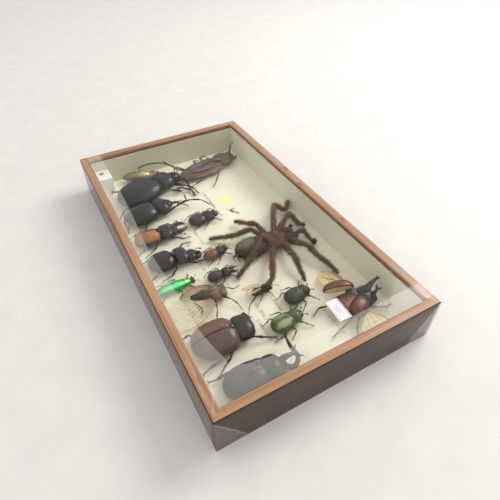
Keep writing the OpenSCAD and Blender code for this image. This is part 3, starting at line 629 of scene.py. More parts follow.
def plate_rim(lip=0.4, dip=0.0):
    """Carves a neck plate: a raised rim all round and a shallow hollow in the middle."""
    def carve(p, u, a):
        over = np.clip(np.sin(a), 0, 1)
        p[..., 2] -= dip * over ** 6
        edge = np.exp(-((np.sin(a) - 0.05) / 0.14) ** 2)
        p[..., 1] += np.sign(p[..., 1]) * lip * edge
        p[..., 0] += lip * u * edge * 0.6
        return p
    return carve


def unit(ways):
    """The same directions, each of length 1."""
    return ways / np.maximum(np.linalg.norm(ways, axis=-1, keepdims=True), 1e-9)


def tube(path, radii, sides=8, flat=1.0):
    """A tapering round limb along a path."""
    path, radii = np.asarray(path, float), np.asarray(radii, float)
    way = unit(np.gradient(path, axis=0))
    up = np.where(np.abs(way[:, 2:]) > 0.93, [[0, 1.0, 0]], [[0, 0, 1.0]])
    across = unit(np.cross(up, way))
    over = np.cross(way, across)
    a = (np.arange(sides) * 2 * np.pi / sides)[None, :, None]
    return path[:, None] + radii[:, None, None] * (np.cos(a) * across[:, None] + flat * np.sin(a) * over[:,
        None])


def curve(points, steps=6):
    """A smooth path through the points."""
    p = np.asarray(points, float)
    p = np.vstack([2 * p[0] - p[1], p, 2 * p[-1] - p[-2]])
    out = []
    for i in range(1, len(p) - 2):
        for t in np.arange(steps) / steps:
            out.append(0.5 * (2 * p[i] + (p[i + 1] - p[i - 1]) * t
                              + (2 * p[i - 1] - 5 * p[i] + 4 * p[i + 1] - p[i + 2]) * t * t
                              + (3 * p[i] - p[i - 1] - 3 * p[i + 1] + p[i + 2]) * t ** 3))
    return np.array(out + [p[-2]])


def spaced(path, count):
    """Points at equal distances along a path."""
    run = np.concatenate([[0], np.cumsum(np.linalg.norm(np.diff(path, axis=0), axis=1))])
    return np.stack([np.interp(np.linspace(0, run[-1], count), run, path[:, k]) for k in range(3)], 1)


def horn(body, part, points, radii, sides=10, steps=6, flat=1.0):
    """A smooth curved spike through points; radii is its thickness along it."""
    path = curve(points, steps)
    radii = np.interp(np.linspace(0, 1, len(path)), np.linspace(0, 1, len(radii)), radii)
    body.add(part, tube(path, radii, sides, flat))


def rod(body, part, a, b, shape, thick, sides=8, bow=0.0):
    """One joint of a leg between two points; shape is its thickness along it."""
    a, b = np.asarray(a, float), np.asarray(b, float)
    t = np.linspace(0, 1, len(shape))[:, None]
    path = a + (b - a) * t + np.array([0, 0, 1]) * bow * np.sin(np.pi * t)
    body.add(part, tube(path, thick * np.asarray(shape), sides))


# How thick a thigh and a shin are along their length, as shares of the leg's width
THIGH = [0.22, 0.42, 0.52, 0.55, 0.52, 0.44, 0.34, 0.3, 0.16]
SHIN = [0.16, 0.3, 0.27, 0.28, 0.31, 0.35, 0.38, 0.36, 0.18]


def spike(body, part, at, way, length, thick):
    """A short straight thorn."""
    at, way = np.asarray(at, float), unit(np.asarray(way, float))
    body.add(part, tube([at, at + way * length * 0.5, at + way * length], [thick, thick * 0.6, thick * 0.05],
                        6))


def foot_joints(body, part, a, b, thick, beads=4):
    """The small beads of a foot and its two claws."""
    a, b = np.asarray(a, float), np.asarray(b, float)
    for i in range(beads):
        p, q = a + (b - a) * i / beads, a + (b - a) * (i + 0.96) / beads
        rod(body, part, p, q, [0.1, 0.2, 0.24, 0.26, 0.12], thick, 6)
    way = unit(b - a)
    side = np.array([-way[1], way[0], 0])
    for s in (-1, 1):
        horn(body, part, [b, b + way * thick * 0.5 + side * s * thick * 0.45,
                          b + way * thick * 0.75 + side * s * thick * 0.4 + [0, 0, -thick * 0.4]],
             [thick * 0.12, thick * 0.09, thick * 0.02], 5, 3)


def leg(body, part, plan, thick, root=5, knee=8, foot=3, spikes=3):
    """A leg from the body: thigh, shin with its spikes, then the beads of the foot.

    plan is the places of its joints, and root, knee and foot are how high they lie.
    """
    last = len(plan) - 1
    joints = [np.array([x, y, root if i == 0 else knee + (foot - knee) * (i - 1) / max(last - 1, 1)])
              for i, (x, y) in enumerate(plan)]
    if last == 2:
        ankle = joints[1] + (joints[2] - joints[1]) * 0.55
        joints = joints[:2] + [ankle, joints[2]]
    elif last == 1:
        joints = [joints[0], joints[0] * 0.6 + joints[1] * 0.4, joints[0] * 0.3 + joints[1] * 0.7, joints[1]]
    rod(body, part, joints[0], joints[1], THIGH, thick, 10, 0.3)
    rod(body, part, joints[1], joints[2], SHIN, thick, 8)
    way = joints[2] - joints[1]
    side = np.array([-way[1], way[0], 0]) / max(np.linalg.norm(way[:2]), 1e-9)
    for i in range(spikes):
        t = 0.45 + 0.5 * i / max(spikes - 1, 1)
        for s in (-1, 1):
            spike(body, part, joints[1] + way * t, side * s + way / np.linalg.norm(way) * 0.8, thick * 0.5,
                  thick * 0.12)
    for a, b in zip(joints[2:-1], joints[3:]):
        foot_joints(body, part, a, b, thick, 4)


def legs(body, part, plans, thick, root=5, knee=8, foot=3, spikes=3):
    """Several legs of the same build."""
    for plan in plans:
        leg(body, part, plan, thick, root, knee, foot, spikes)


def hoop(x, y, z, half, high, thick, steps, low=15, bow=0):
    """A thin ring over a body at x, from low degrees on one side to the same on the other."""
    arc = np.radians(np.linspace(low, 180 - low, steps))
    path = np.stack([x + bow(arc) if bow else np.full(steps, float(x)), y + half * np.cos(arc),
                     z + high * np.sin(arc)], -1)
    return tube(path, [thick] * steps, 6)


def feeler(body, part, points, thick, club=1.0, beads=11):
    """An antenna of beads, that may swell at its tip."""
    t = np.linspace(0, 1, beads * 4 + 1)
    shape = thick * (0.6 + 0.4 * np.abs(np.sin(np.pi * beads * t)))
    shape = shape * np.where(t > 0.78, club, 1) * np.where(t > 0.97, 0.5, 1)
    body.add(part, tube(spaced(curve(points, 8), len(t)), shape, 6))


def ball(body, part, at, size, rows=8, sides=12):
    """A small egg-shaped body such as an eye."""
    body.add(part, dome(size[0], size[1], size[2], size[2], 2, 2, rows, sides) + np.array(at, float))


def tufts(body, part, roots, ways, length, thick, seed, stir=0.35):
    """Fine hairs: one thin three-sided spike each."""
    dice = np.random.default_rng(seed)
    roots, ways = np.asarray(roots, float), np.asarray(ways, float)
    n = len(roots)
    ways = unit(ways + dice.normal(0, stir, (n, 3)))
    long = length * dice.uniform(0.6, 1.25, (n, 1))
    side = unit(np.cross(ways, dice.normal(0, 1, (n, 3))))
    other = np.cross(ways, side)
    points = np.stack([roots + side * thick, roots - side * thick * 0.5 + other * thick * 0.87,
                       roots - side * thick * 0.5 - other * thick * 0.87, roots + ways * long], 1)
    cells = [(4 * i + a, 4 * i + b, 4 * i + 3) for i in range(n) for a, b in ((0, 1), (1, 2), (2, 0))]
    body.add_faces(part, points, cells)


def coat(body, part, rings, count, length, thick, seed, sweep=(-0.6, 0, 0), stir=0.35):
    """Hairs all over a set of rings, swept back along the body and stirred a little."""
    rings = np.asarray(rings)
    dice = np.random.default_rng(seed)
    middle = rings.mean(1, keepdims=True)
    i, k = dice.integers(0, rings.shape[0], count), dice.integers(0, rings.shape[1], count)
    spots = rings[i, k] + dice.normal(0, 0.25, (count, 3))
    out = unit(rings[i, k] - np.broadcast_to(middle, rings.shape)[i, k])
    spots = rings[i, k] + (spots - rings[i, k]) * (1 - np.abs(out))
    tufts(body, part, spots, out + np.array(sweep), length, thick, seed + 1, stir)


def wing(body, skin_part, vein_part, front, back, z, lean=(0, 0, 0), veins=(0.0, 0.25, 0.5, 0.75, 1.0),
         cross=0, thick=0.22, cup=0.6, tip=0.0):
    """A thin veined wing between its front and its back edge, from root to tip.

    veins are their places from the front edge (0) to the back edge (1), and cross is how
    many short veins join them. cup is how far it bulges, and tip how far its end is rounded.
    """
    rows, lines = 26, 17
    a, b = [spaced(curve([(x, y, 0) for x, y in points], 8), rows) for points in (front, back)]
    v = np.linspace(0, 1, lines)[None, :]
    t = np.linspace(0, 1, rows)[:, None]
    grid = a[:, None] * (1 - v[..., None]) + b[:, None] * v[..., None]
    out = a[-1] - a[0] + b[-1] - b[0]
    grid += tip * (t ** 3 * np.sin(np.pi * v))[..., None] * out / max(np.linalg.norm(out), 1e-9)
    grid[..., 2] = cup * np.sin(np.pi * v) * np.sin(np.pi * np.clip(t, 0.05, 1)) \
        + 0.18 * np.cos(v * 2 * np.pi * len(veins))
    grid = turned(grid, lean[2], lean[1], lean[0], (0, 0, z))
    cells = [(i * lines + k, i * lines + k + 1, (i + 1) * lines + k + 1, (i + 1) * lines + k)
             for i in range(rows - 1) for k in range(lines - 1)]
    body.add_faces(skin_part, grid, cells)

    def at(row, share):
        k = min(share * (lines - 1), lines - 1.001)
        return grid[row, int(k)] * (1 - k % 1) + grid[row, int(k) + 1] * (k % 1)

    raised = [0, 0, 0.06]
    for share in veins:
        path = np.array([at(r, share) for r in range(rows)]) + raised
        strength = 1.5 if share in (0, 1) else 1
        body.add(vein_part, tube(path, np.linspace(thick, thick * 0.45, rows) * strength, 5))
    for i in range(cross):
        row = int(rows * (0.35 + 0.55 * (i + 0.5) / cross))
        k = i % (len(veins) - 1)
        ends = at(row, veins[k]), at(min(row + 1, rows - 1), veins[k + 1])
        body.add(vein_part, tube(np.linspace(*ends, 4) + raised, [thick * 0.5] * 4, 5))
    return grid


def chitin(name, dark, pale, rough=(0.2, 0.4), grain=700, coat_weight=0.3, bump=0.2, **more):
    """Dry insect shell: hard, a little glossy and finely pitted."""
    return finish(name, dark, pale, grain, rough=rough, bump=bump, fine=5,
                  Coat_Weight=coat_weight, Coat_Roughness=0.12, Specular_IOR_Level=0.3, **more)


black = chitin("black_shell", (16, 15, 14), (32, 30, 28), (0.28, 0.44), 400, 0.3, 0.12)
horn_black = chitin("black_limb", (18, 16, 15), (38, 34, 31), (0.35, 0.5), 900, 0.15, 0.35)
eye_black = chitin("dark_eye", (14, 13, 13), (30, 28, 28), (0.1, 0.2), 900, 0.8)
brown_hair = finish("brown_hair", (112, 84, 60), (158, 124, 92), 1500, rough=(0.6, 0.8), bump=0.2)

# ---- Tarantula ----
# A big brown bird-eating spider: furry jointed legs, a rounded fore-body, an oval hind-body
# with a worn olive patch, and feelers that end in dark club feet.
spider = Specimen("tarantula", 43, -26)
# The joints of each leg, from the body to the foot
SPIDER_LEGS = [
    [(6, 12, 7), (20, 36, 12), (30, 50, 10), (35, 39, 8.5), (40, 39, 7), (51, 53, 5)],
    [(10, 10, 7), (28, 22, 12), (37, 27, 9.7), (37, 9, 7.3), (44, 8, 5)],
    [(-4, 10, 7), (-9.1, 25.3, 15), (-14.6, 32.5, 12), (-21.2, 50.2, 5)],
    [(-8, 8, 7), (-17.8, 20.1, 15), (-34, 24.3, 10), (-45.5, 30.3, 7), (-58, 38.5, 4)],
    [(-6, -6, 8), (-15.8, 1.2, 19), (-39, -17.4, 13), (-48.5, -22.3, 9), (-58, -25.5, 4)],
    [(-8, -10, 7), (-21, -29, 12), (-33, -49, 12.5), (-42, -56, 13)],
    [(4, -10, 7), (2, -34, 12), (-1, -49, 8), (-3, -61, 4)],
    [(14, -8, 7), (23, -29, 12), (24, -44, 9.7), (29, -57, 7.3), (30, -69, 5)],
]
# How thick each joint of a leg is along its length
PAD = [0.5, 0.92, 1.06, 1.08, 1.02, 0.94, 0.86, 0.84, 0.6]
hind = turned(dome(35, 25, 9, 7, 2.5, 2.3, 30, 36), to=(-28.5, 0, 9))
spider.add("hind", hind)
coat(spider, "hind", hind, 1700, 2.4, 0.16, 11, (-0.4, 0, 0), 0.55)


def carapace(p, u, a):
    """The pit in the middle of the fore-body and the grooves that run out from it."""
    over = np.clip(np.sin(a), 0, 1)
    x, y = p[..., 0], p[..., 1]
    p[..., 2] -= 1.1 * over * np.exp(-((x + 1) / 2.2) ** 2 - (y / 2.5) ** 2)
    p[..., 2] -= 0.45 * over * np.cos(np.arctan2(y, x + 1) * 8) * np.exp(-((np.hypot(x, y) - 8) / 4) ** 2)
    return p


fore = turned(dome(31, 25, 6, 5, 2.4, 2.6, 30, 40, carapace), to=(-1, 0, 8))
spider.add("fur", fore)
coat(spider, "fur", fore, 500, 1.8, 0.14, 21, (-0.3, 0, 0), 0.6)
coat(spider, "long_hair", fore, 700, 2.4, 0.17, 23, (-0.3, 0, 0), 0.6)
coat(spider, "long_hair", fore, 160, 3.6, 0.32, 25, (-0.3, 0, 0), 0.6)
for side in (1, -1):
    jaw = turned(dome(20, 9.5, 5.6, 5, 2.2, 3, 18, 20), side * -3, 12, 0, (15.5, side * 5, 8))
    spider.add("jaw", jaw)
    coat(spider, "jaw", jaw, 420, 2.2, 0.14, 30 + side, (0.5, 0, 0), 0.5)
    horn(spider, "claw", [(23, side * 4.5, 5.5), (25, side * 4.2, 3.2), (23.5, side * 3.8, 1.2)],
         [0.9, 0.6, 0.1])
ball(spider, "claw", (24.2, 6.8, 12), (4.6, 4.2, 2), 8, 14)
for k in range(8):
    ball(spider, "eye", (11.5 + 0.9 * (k % 2), -1.8 + 0.52 * k, 13.4), (0.8, 0.8, 0.4), 5, 8)
for number, plan in enumerate(SPIDER_LEGS):
    joints = [np.array(p, float) for p in plan]
    last = len(joints) - 1
    for i in range(last):
        thick = (2.6, 2.5, 2.25, 2.0, 1.85)[i] if i < last - 1 else 1.75
        t = np.linspace(0, 1, len(PAD))[:, None]
        path = joints[i] + (joints[i + 1] - joints[i]) * t + np.array([0, 0, 0.5]) * np.sin(np.pi * t)
        shape = PAD if i < last - 1 else [0.55, 0.8, 0.86, 0.84, 0.86, 0.92, 0.96, 0.88, 0.5]
        rings = tube(path, thick * np.array(shape), 12)
        spider.add("fur", rings)
        span = float(np.linalg.norm(joints[i + 1] - joints[i]))
        way = (joints[i + 1] - joints[i]) / span
        coat(spider, "fur", rings, int(8 * span), 2.0, 0.15, 100 + number * 10 + i, way * 0.5, 0.5)
        coat(spider, "long_hair", rings, int(12 * span), 2.6, 0.17, 600 + number * 10 + i, way * 0.3, 0.6)
        coat(spider, "long_hair", rings, int(4 * span), 3.8, 0.34, 800 + number * 10 + i, way * 0.5, 0.6)
    tip = joints[-1] + (joints[-1] - joints[-2]) / np.linalg.norm(joints[-1] - joints[-2]) * 0.8
    ball(spider, "claw", tip, (2.2, 2.2, 1), 6, 10)
palp = [np.array(p, float) for p in [(20, -4, 7), (32.6, -2.7, 11), (33.3, -7.6, 10), (34.9, -18.7, 6),
                                     (38.5, -22.2, 5)]]
for i, thick in enumerate((2.4, 2.4, 2.1, 2.2)):
    shape = PAD if i < 3 else [0.6, 0.9, 1.1, 1.2, 1.24, 1.2, 1.1, 0.9, 0.4]
    t = np.linspace(0, 1, len(shape))[:, None]
    rings = tube(palp[i] + (palp[i + 1] - palp[i]) * t, thick * np.array(shape), 12)
    spider.add("fur" if i < 3 else "claw", rings)
    coat(spider, "long_hair" if i < 3 else "fur", rings, 240, 2.2, 0.15, 300 + i,
         (palp[i + 1] - palp[i]) * 0.04, 0.5)
for points, radii in (([(-44.4, -2.1, 9), (-48, -2.6, 8.8), (-50.8, -2.5, 8), (-51.5, -5.9, 6)],
                       [1.5, 1.2, 0.9, 0.4]),
                      ([(-44, -3, 8), (-47, -5, 8), (-48, -9, 7)], [1.2, 1, 0.4])):
    horn(spider, "fur", points, radii)


def fur(name, dark, pale, grain=420, rough=(0.75, 0.9), bump=0.6):
    """Short dull fur or a mass of hairs."""
    return finish(name, dark, pale, grain, rough=rough, bump=bump, Specular_IOR_Level=0.2)


hind_fur = fur("hind_fur", (58, 44, 37), (96, 76, 62))
blot(hind_fur, 0.0095, -0.0215, 0.027, 0.018, (118, 110, 92), 0.85, 0.9)
# The fur under the hairs is painted darker, as painted shade among the hairs, and the long hairs paler, as
# painted light along their fuzzy edge
spider.settle({
    "fur": fur("spider_fur", (66, 48, 39), (104, 78, 63)),
    "jaw": fur("jaw_fur", (50, 41, 35), (84, 70, 60)),
    "long_hair": fur("spider_hair", (124, 96, 78), (170, 138, 114), 700, (0.7, 0.85), 0.3),
    "hind": hind_fur, "claw": horn_black}, {"shell": "spider_fur"})

# ---- Giant water bug ----
# A flat brown bug: leathery wing cases that fold over each other in a cross, a broad neck
# plate, bulging eyes and grasping forelegs, one of them lifted.
bug = Specimen("giant_water_bug", 42, 142, lies=12.5)


def leather(p, u, a):
    """The crossed seams, the side folds and the thin edge of the wing cases."""
    over = np.clip(np.sin(a), 0, 1)
    x, y = p[..., 0], p[..., 1]
    for s, bite in ((1, 0.55), (-1, 0.4)):
        p[..., 2] -= bite * over * np.exp(-((y - s * (2 + (x - 8) * 0.42)) / 0.5) ** 2) * (x > -14) * (x < 24)
    p[..., 2] -= 0.5 * over * np.exp(-((np.abs(y) - 11.5 + np.abs(x + 4) * 0.06) / 0.7) ** 2)
    edge = np.exp(-(np.sin(a) / 0.14) ** 2)
    p[..., 1] += np.sign(y) * 0.9 * edge
    return p


bug.add("edge", turned(dome(66, 31.5, 4.6, 4, 1.7, 2.8, 44, 56, leather), 12.5, to=(-7.8, -1.7, 6)))


def inner(p, u, a):
    """A faint line down the middle of a wing case."""
    p[..., 2] -= 0.35 * np.clip(np.sin(a), 0, 1) * np.exp(-(p[..., 1] / 0.4) ** 2)
    return p


for s, turn in ((1, 5.5), (-1, -5.5)):
    bug.plate("wing", (-4, s * 5.6, 9.3), (43, 10.5, 1.5, 1.5), (2.2, 2.2), (26, 28), inner, turn=turn,
              tip=3, lean=s * 7)
bug.plate("wing", (-29, 0, 7.6), (20, 15, 1.2, 1.2), (1.8, 2.6), (18, 24), tip=-7)
for points, radii in (([(15, 1.5, 11.4), (5, 0.8, 11.6), (-8, -0.6, 11), (-20, -1, 9.8), (-30, -0.5, 8.6)],
                       [0.3, 0.5, 0.5, 0.4, 0.2]),
                      ([(14, 3, 11.2), (2, 9.6, 10.4), (-14, 11, 9.4), (-26, 8, 8.4)], [0.3, 0.45, 0.4, 0.2]),
                      ([(14, -3, 11.2), (2, -9.6, 10.4), (-14, -11, 9.4), (-26, -8, 8.4)],
                       [0.3, 0.45, 0.4, 0.2])):
    horn(bug, "seam", [on(12.5, p) for p in points], radii, 8, 6, 0.5)
horn(bug, "margin", [on(12.5, p) for p in [(18, -14.6, 7), (4, -16.2, 6.8), (-12, -15.6, 6.6),
                                           (-28, -10.6, 6.4), (-37, -4, 6.2)]],
     [0.7, 1.3, 1.4, 1.1, 0.4], 10, 7, 0.6)
bug.plate("edge", (27, 0, 7), (22, 28, 4.8, 4), (3, 2.6), (26, 44), plate_rim(0.4, 0.5))
bug.plate("edge", (16.5, 0, 11), (13, 9.5, 1.8, 1.8), (1.7, 3), (14, 20), tip=4)
bug.plate("edge", (37.6, 0, 6.6), (13, 13, 3.6, 4), (3, 1.7), (18, 28))
for s in (1, -1):
    ball(bug, "eye", on(12.5, (39, s * 5.2, 8.2)), (5, 3.6, 2.2), 8, 14)
rod(bug, "limb", (36, 9, 7), (42, 16, 10), THIGH, 5.2, 12, 0.3)
rod(bug, "limb", (42, 16, 10), (45.5, 21, 14.5), SHIN, 4.2, 10)
foot_joints(bug, "limb", (45.5, 21, 14.5), (49, 20, 18), 2.8, 3)
rod(bug, "limb", (36, 2, 7), (43, -2, 8), THIGH, 4.8, 12)
rod(bug, "limb", (43, -2, 8), (44.4, 3.6, 8), SHIN, 3.6, 10)
legs(bug, "limb", [
    [(4, 10), (-2, 20), (8, 27), (13, 19)], [(-10, 8), (-12, 18), (-4, 25)],
    [(-28, 6), (-40, 13), (-34, 19), (-27, 13)], [(14, -8), (6, -24), (-4, -36), (-9, -40)],
    [(0, -12), (-12, -24), (-28, -29), (-39, -30)]], 2.9, spikes=5)
bug.settle({
    "edge": chitin("bug_edge", (78, 58, 44), (112, 86, 66), (0.42, 0.56), 320, 0.12, 0.35),
    "wing": chitin("bug_wing", (82, 74, 72), (108, 98, 94), (0.42, 0.6), 260, 0.12, 0.4),
    "seam": chitin("bug_seam", (44, 35, 30), (66, 54, 46), (0.45, 0.6), 600, 0.1, 0.3),
    "margin": chitin("bug_margin", (122, 96, 74), (150, 122, 98), (0.42, 0.56), 500, 0.12, 0.3),
    "limb": chitin("bug_limb", (76, 58, 44), (108, 84, 64), (0.4, 0.55), 600, 0.12, 0.3)},
    {"shell": "bug_brown"})

# ---- Great black beetle ----
# The largest beetle: an egg-shaped pair of smooth plain black wing cases, a broad neck
# plate, long feelers and hairy forelegs.
great = Specimen("great_black_beetle", -42, 127, lies=17)
great.plate("cases", (-14, 0, 9), (56, 43, 13, 7), (2.4, 3.4), (96, 144), wing_cases(43, 6, 0.0, 0.9, 0.5))
great.plate("shell", (21, 0, 9), (25, 31, 10, 6), (4, 2.6), (30, 56), plate_rim(0.6, 0.3))
great.plate("shell", (8.4, 0, 20.4), (6, 6, 1.4, 1.2), (1.6, 2.5), (12, 18), tip=4)
great.plate("shell", (36.5, 0, 8), (17, 16, 6, 5), (3, 2.2), (20, 32), plate_rim(0.3, 0.6), tip=5)
for s in (1, -1):
    ball(great, "eye", on(17, (36, s * 7.2, 10)), (4.4, 3, 2), 8, 14)
    horn(great, "limb", [on(17, (42, s * 3.5, 7)), on(17, (46, s * 4, 6.6)), on(17, (48.2, s * 1.2, 6.4))],
         [1.5, 1.2, 0.3])
feeler(great, "limb", [(37, 13, 9), (41, 24, 13), (30, 38, 15), (14, 45.5, 14), (0, 45, 12)], 0.85, 1.0, 11)
feeler(great, "limb", [(40, 12, 9), (44, 20, 13), (37, 30, 15), (34, 45, 13)], 0.8, 1.0, 11)
legs(great, "limb", [
    [(34, 4), (45, 2), (47, -12), (45, -20)], [(30, 0), (42, -14), (49, -20), (51, -28)],
    [(-12, -16), (-38, -25), (-48, -33)], [(-20, 12), (-42, 15), (-40, 24)],
    [(8, 10), (4, 22), (-6, 24)]], 3.6, 5, 8, 3, 5)
for n, (a, b) in enumerate([((26, -14, 5), (36, -12, 6)), ((36, -12, 6), (46, -21, 4)),
                            ((46, -21, 4), (46.5, -31, 2)),
                            ((24, -12, 6), (34, -19, 5)), ((-42, 15, 7), (-40, 24, 3))]):
    way = np.array(b, float) - np.array(a, float)
    path = np.array(a, float) + way * np.linspace(0, 1, 9)[:, None]
    rings = tube(path, 1.1 * np.array(SHIN) / 0.38, 8)
    great.add("limb", rings)
    coat(great, "hair", rings, 190, 2.1, 0.075, 400 + n, way * 0.05)
great.settle({
    "cases": chitin("black_cases", (17, 16, 15), (34, 32, 30), (0.3, 0.42), 400, 0.3, 0.02),
    "shell": black, "limb": horn_black, "hair": brown_hair}, {"shell": "shell_black", "hair": "shell_brown"})

# ---- Long-armed beetle ----
# A dark rounded beetle whose forelegs are drawn out into long toothed arms. It is dry hard
# shell, and the pin through its back holds it to the board.
armed = Specimen("long_armed_beetle", -58, 84, lies=13)
armed.plate("shell", (-9, 0, 8), (38, 32, 11, 6), (2.4, 3.2), (84, 128), wing_cases(32, 5, 0.0, 0.8, 0.4))
armed.plate("shell", (15, 0, 8), (17.5, 29, 8.4, 5), (3.4, 2.8), (28, 48), plate_rim(0.8, 0.2))
armed.plate("shell", (25, 0, 7), (11, 13, 5, 4), (3, 2.2), (18, 28), plate_rim(0.3, 0.6), tip=6)
for s in (1, -1):
    ball(armed, "eye", on(13, (25, s * 6, 9)), (3.4, 2.6, 1.8), 8, 12)
arm = [(12, -10, 6), (31, -6, 9), (46, -2, 9.4), (61, -7, 8.4), (68, -19, 6.5)]
for (a, b), thick in zip(zip(arm, arm[1:]), (4.6, 4.0, 2.9, 2.0)):
    rod(armed, "limb", a, b, THIGH if thick > 4.2 else SHIN, thick, 10, 0.6)
for i in range(5):
    t = 0.15 + 0.17 * i
    at = np.array(arm[1]) + (np.array(arm[2]) - np.array(arm[1])) * t
    spike(armed, "limb", at, (0.35, (1, -1)[i % 2], 0.2), 2.2, 0.5)
spike(armed, "limb", arm[2], (0.2, -1, 0), 4.2, 0.6)
spike(armed, "limb", arm[3], (0.4, -1, -0.1), 3.4, 0.5)
foot_joints(armed, "limb", arm[4], (72, -21, 4.6), 1.6, 3)
rod(armed, "limb", (46, -2, 9), (48, 12, 8.4), SHIN, 2.4, 8)
foot_joints(armed, "limb", (24, 6, 9), (38, 1, 9), 3.6, 4)
legs(armed, "limb", [
    [(20, 5), (34, 2), (45, -2)], [(-16, 6), (-27, 7), (-30, -6), (-30, -16)],
    [(-20, -8), (-28, -14), (-31, -18)], [(-4, -13), (-8, -19), (-13, -25), (-22, -24)]], 3.0, 5.4, 8, 3, 4)
armed.settle({"shell": chitin("armed_shell", (17, 16, 15), (33, 31, 29), (0.3, 0.42), 500, 0.3, 0.05),
              "limb": horn_black}, {"shell": "shell_black"})


# ---- Two jewel beetles ----
# Metallic beetles shaped like a torpedo. One is ringed in teal, copper, gold and rose, the
# other is bright green with a yellow shine behind the head.
def jewel(name, bands, low, high, rough=(0.22, 0.34), metal=0.85):
    """Metallic shell whose colour runs in bands from tail to head, in metres along x."""
    made = finish(name, (0, 0, 0), (0, 0, 0), 900, rough=rough, bump=0.25, fine=3,
                  Metallic=metal, Coat_Weight=0.4, Coat_Roughness=0.1)
    tree = made.node_tree
    place = node(tree, "SeparateXYZ", {"Vector": where_in(tree)}).outputs["X"]
    run = node(tree, "MapRange", {"Value": place, "From Min": low, "From Max": high}).outputs["Result"]
    stir = worked(tree, "MULTIPLY_ADD", tree.nodes["Noise Texture"].outputs["Fac"], 0.1, run)
    ramp = node(tree, "ValToRGB", {"Fac": stir})
    for i, (where, colour) in enumerate(bands):
        stop = ramp.color_ramp.elements[i] if i < 2 else ramp.color_ramp.elements.new(where)
        stop.position, stop.color = where, tint(*colour)
    tree.links.new(ramp.outputs["Color"], tree.nodes["Principled BSDF"].inputs["Base Color"])
    return made


banded = Specimen("banded_jewel_beetle", -42, 160.5, lies=-16)
banded.plate("shell", (-5, 0, 7), (35, 13, 7, 4), (1.8, 3), (40, 48), wing_cases(13, 5, 0.1, 0.45, 0.25))
banded.plate("shell", (15, 0, 7), (11, 12, 5.4, 4), (3, 2.6), (22, 36), plate_rim(0.25))
banded.plate("dark", (21, 0, 7), (6.5, 8, 4, 3), (2.6, 2.2), (14, 24))
spike(banded, "dark", on(-16, (-21, 1, 7)), on(-16, (-1, 0.3, 0)), 2.6, 0.4)
for x in (-17, -12.6, -8.8, -5, -1, 3, 7):
    half = 6.5 * math.sqrt(1 - (abs(x + 5) / 17.5) ** (1.8 if x < -5 else 3))
    ring = hoop(x, 0, 7, half, half / 6.5 * 7.1, 0.26, 13, bow=lambda arc: 0.5 * np.sin(3 * arc))
    banded.add("dark", turned(ring, -16))
for s in (1, -1):
    ball(banded, "eye", on(-16, (21, s * 3.6, 8.4)), (2.4, 1.8, 1.4), 8, 12)
legs(banded, "dark", [[(12, -6), (15, -11), (20, -11)], [(0, -3), (-3, -8), (-8, -7)],
                      [(-6, -2), (-10, -5), (-15, -4)],
                      [(12, 2), (17, 3), (21, 1)]], 1.7)
banded.settle({
    "shell": jewel("banded_metal", [(0.0, (52, 92, 84)), (0.2, (82, 142, 124)), (0.34, (160, 128, 98)),
                                    (0.45, (172, 134, 104)),
                                    (0.54, (156, 174, 110)), (0.68, (206, 204, 150)), (0.8, (208, 178, 152)),
                                    (0.92, (124, 96, 84))], -0.066, -0.022, (0.24, 0.38), 0.6),
    "dark": chitin("banded_limb", (52, 40, 34), (104, 72, 48), (0.3, 0.45))},
    {"shell": "shell_green", "dark": "shell_brown"})

green = Specimen("green_jewel_beetle", -75, -34)
green.plate("shell", (-1.4, -0.3, 5), (41, 11.2, 5.4, 4), (1.7, 2.1), (56, 48),
            wing_cases(11.2, 4, 0.1, 0.4, 0.25))
green.add("dark", hoop(9.4, -0.3, 5, 4.6, 4.55, 0.2, 15, 12, lambda arc: 0.8 * np.sin(arc)))
green.plate("dark", (19, -0.8, 5), (4.6, 6, 2.9, 2.6), (3, 2.2), (14, 24))
for s in (1, -1):
    ball(green, "eye", (19, -1 + s * 3.5, 6.2), (2.2, 1.6, 1.3), 8, 12)
    feeler(green, "dark", [(20.6, -1 + s * 2, 6), (23, -1 + s * 3.4, 7), (24.6, -1 + s * 5.4, 6)], 0.3, 1, 8)
legs(green, "dark", [
    [(14, 4), (18, 8), (17, 12)], [(2, 4), (4, 9), (-1, 12)], [(-8, 4), (-11, 8), (-16, 10)],
    [(14, -5), (17, -9), (21, -10)], [(2, -5), (5, -10), (0, -14)], [(-8, -5), (-13, -9), (-17, -14)]], 1.5,
    4, 5, 2)
green_metal = jewel("green_metal", [(0.0, (36, 130, 66)), (0.3, (48, 176, 84)), (0.6, (62, 214, 108)),
                                    (0.8, (60, 200, 96)),
                                    (0.92, (58, 160, 80)), (1.0, (34, 90, 50))], -0.097, -0.055,
                                    (0.22, 0.34), 0.75)
# The first blot lays a darker green band along the upper side; the second is a painted highlight, a pale
# green band along the lower middle of the shell
blot(green_metal, -0.077, -0.0305, 0.05, 0.0052, (20, 84, 48), 0.9, 0.2)
blot(green_metal, -0.076, -0.0368, 0.034, 0.0036, (140, 250, 170), 0.9, 0.2)
blot(green_metal, -0.0622, -0.0355, 0.006, 0.0036, (196, 208, 76), 0.9, 0.25)
green.settle({
    "shell": green_metal,
    "dark": chitin("green_limb", (40, 46, 38), (74, 76, 58), (0.3, 0.45))},
    {"shell": "shell_green", "dark": "shell_black"})


# ---- Two stag beetles ----
# One has orange-brown wing cases with a dark seam and edge, and long toothed jaws. The other
# is glossy black with its head turned aside.
def stag_jaw(body, s):
    """A long curved jaw with three teeth on its inner side."""
    horn(body, "dark", [(17, s * 4.6, 6.4), (23, s * 6.2, 7.4), (28, s * 5.4, 7.4), (32, s * 2.6, 7)],
         [3.4, 3.0, 2.3, 0.5], 12, 7, 0.7)
    for x, size in ((23.6, 2.8), (26.6, 2.4), (29.2, 1.8)):
        spike(body, "dark", (x, s * 5.4, 7.4), (0.6, -s, 0), size, 0.9)


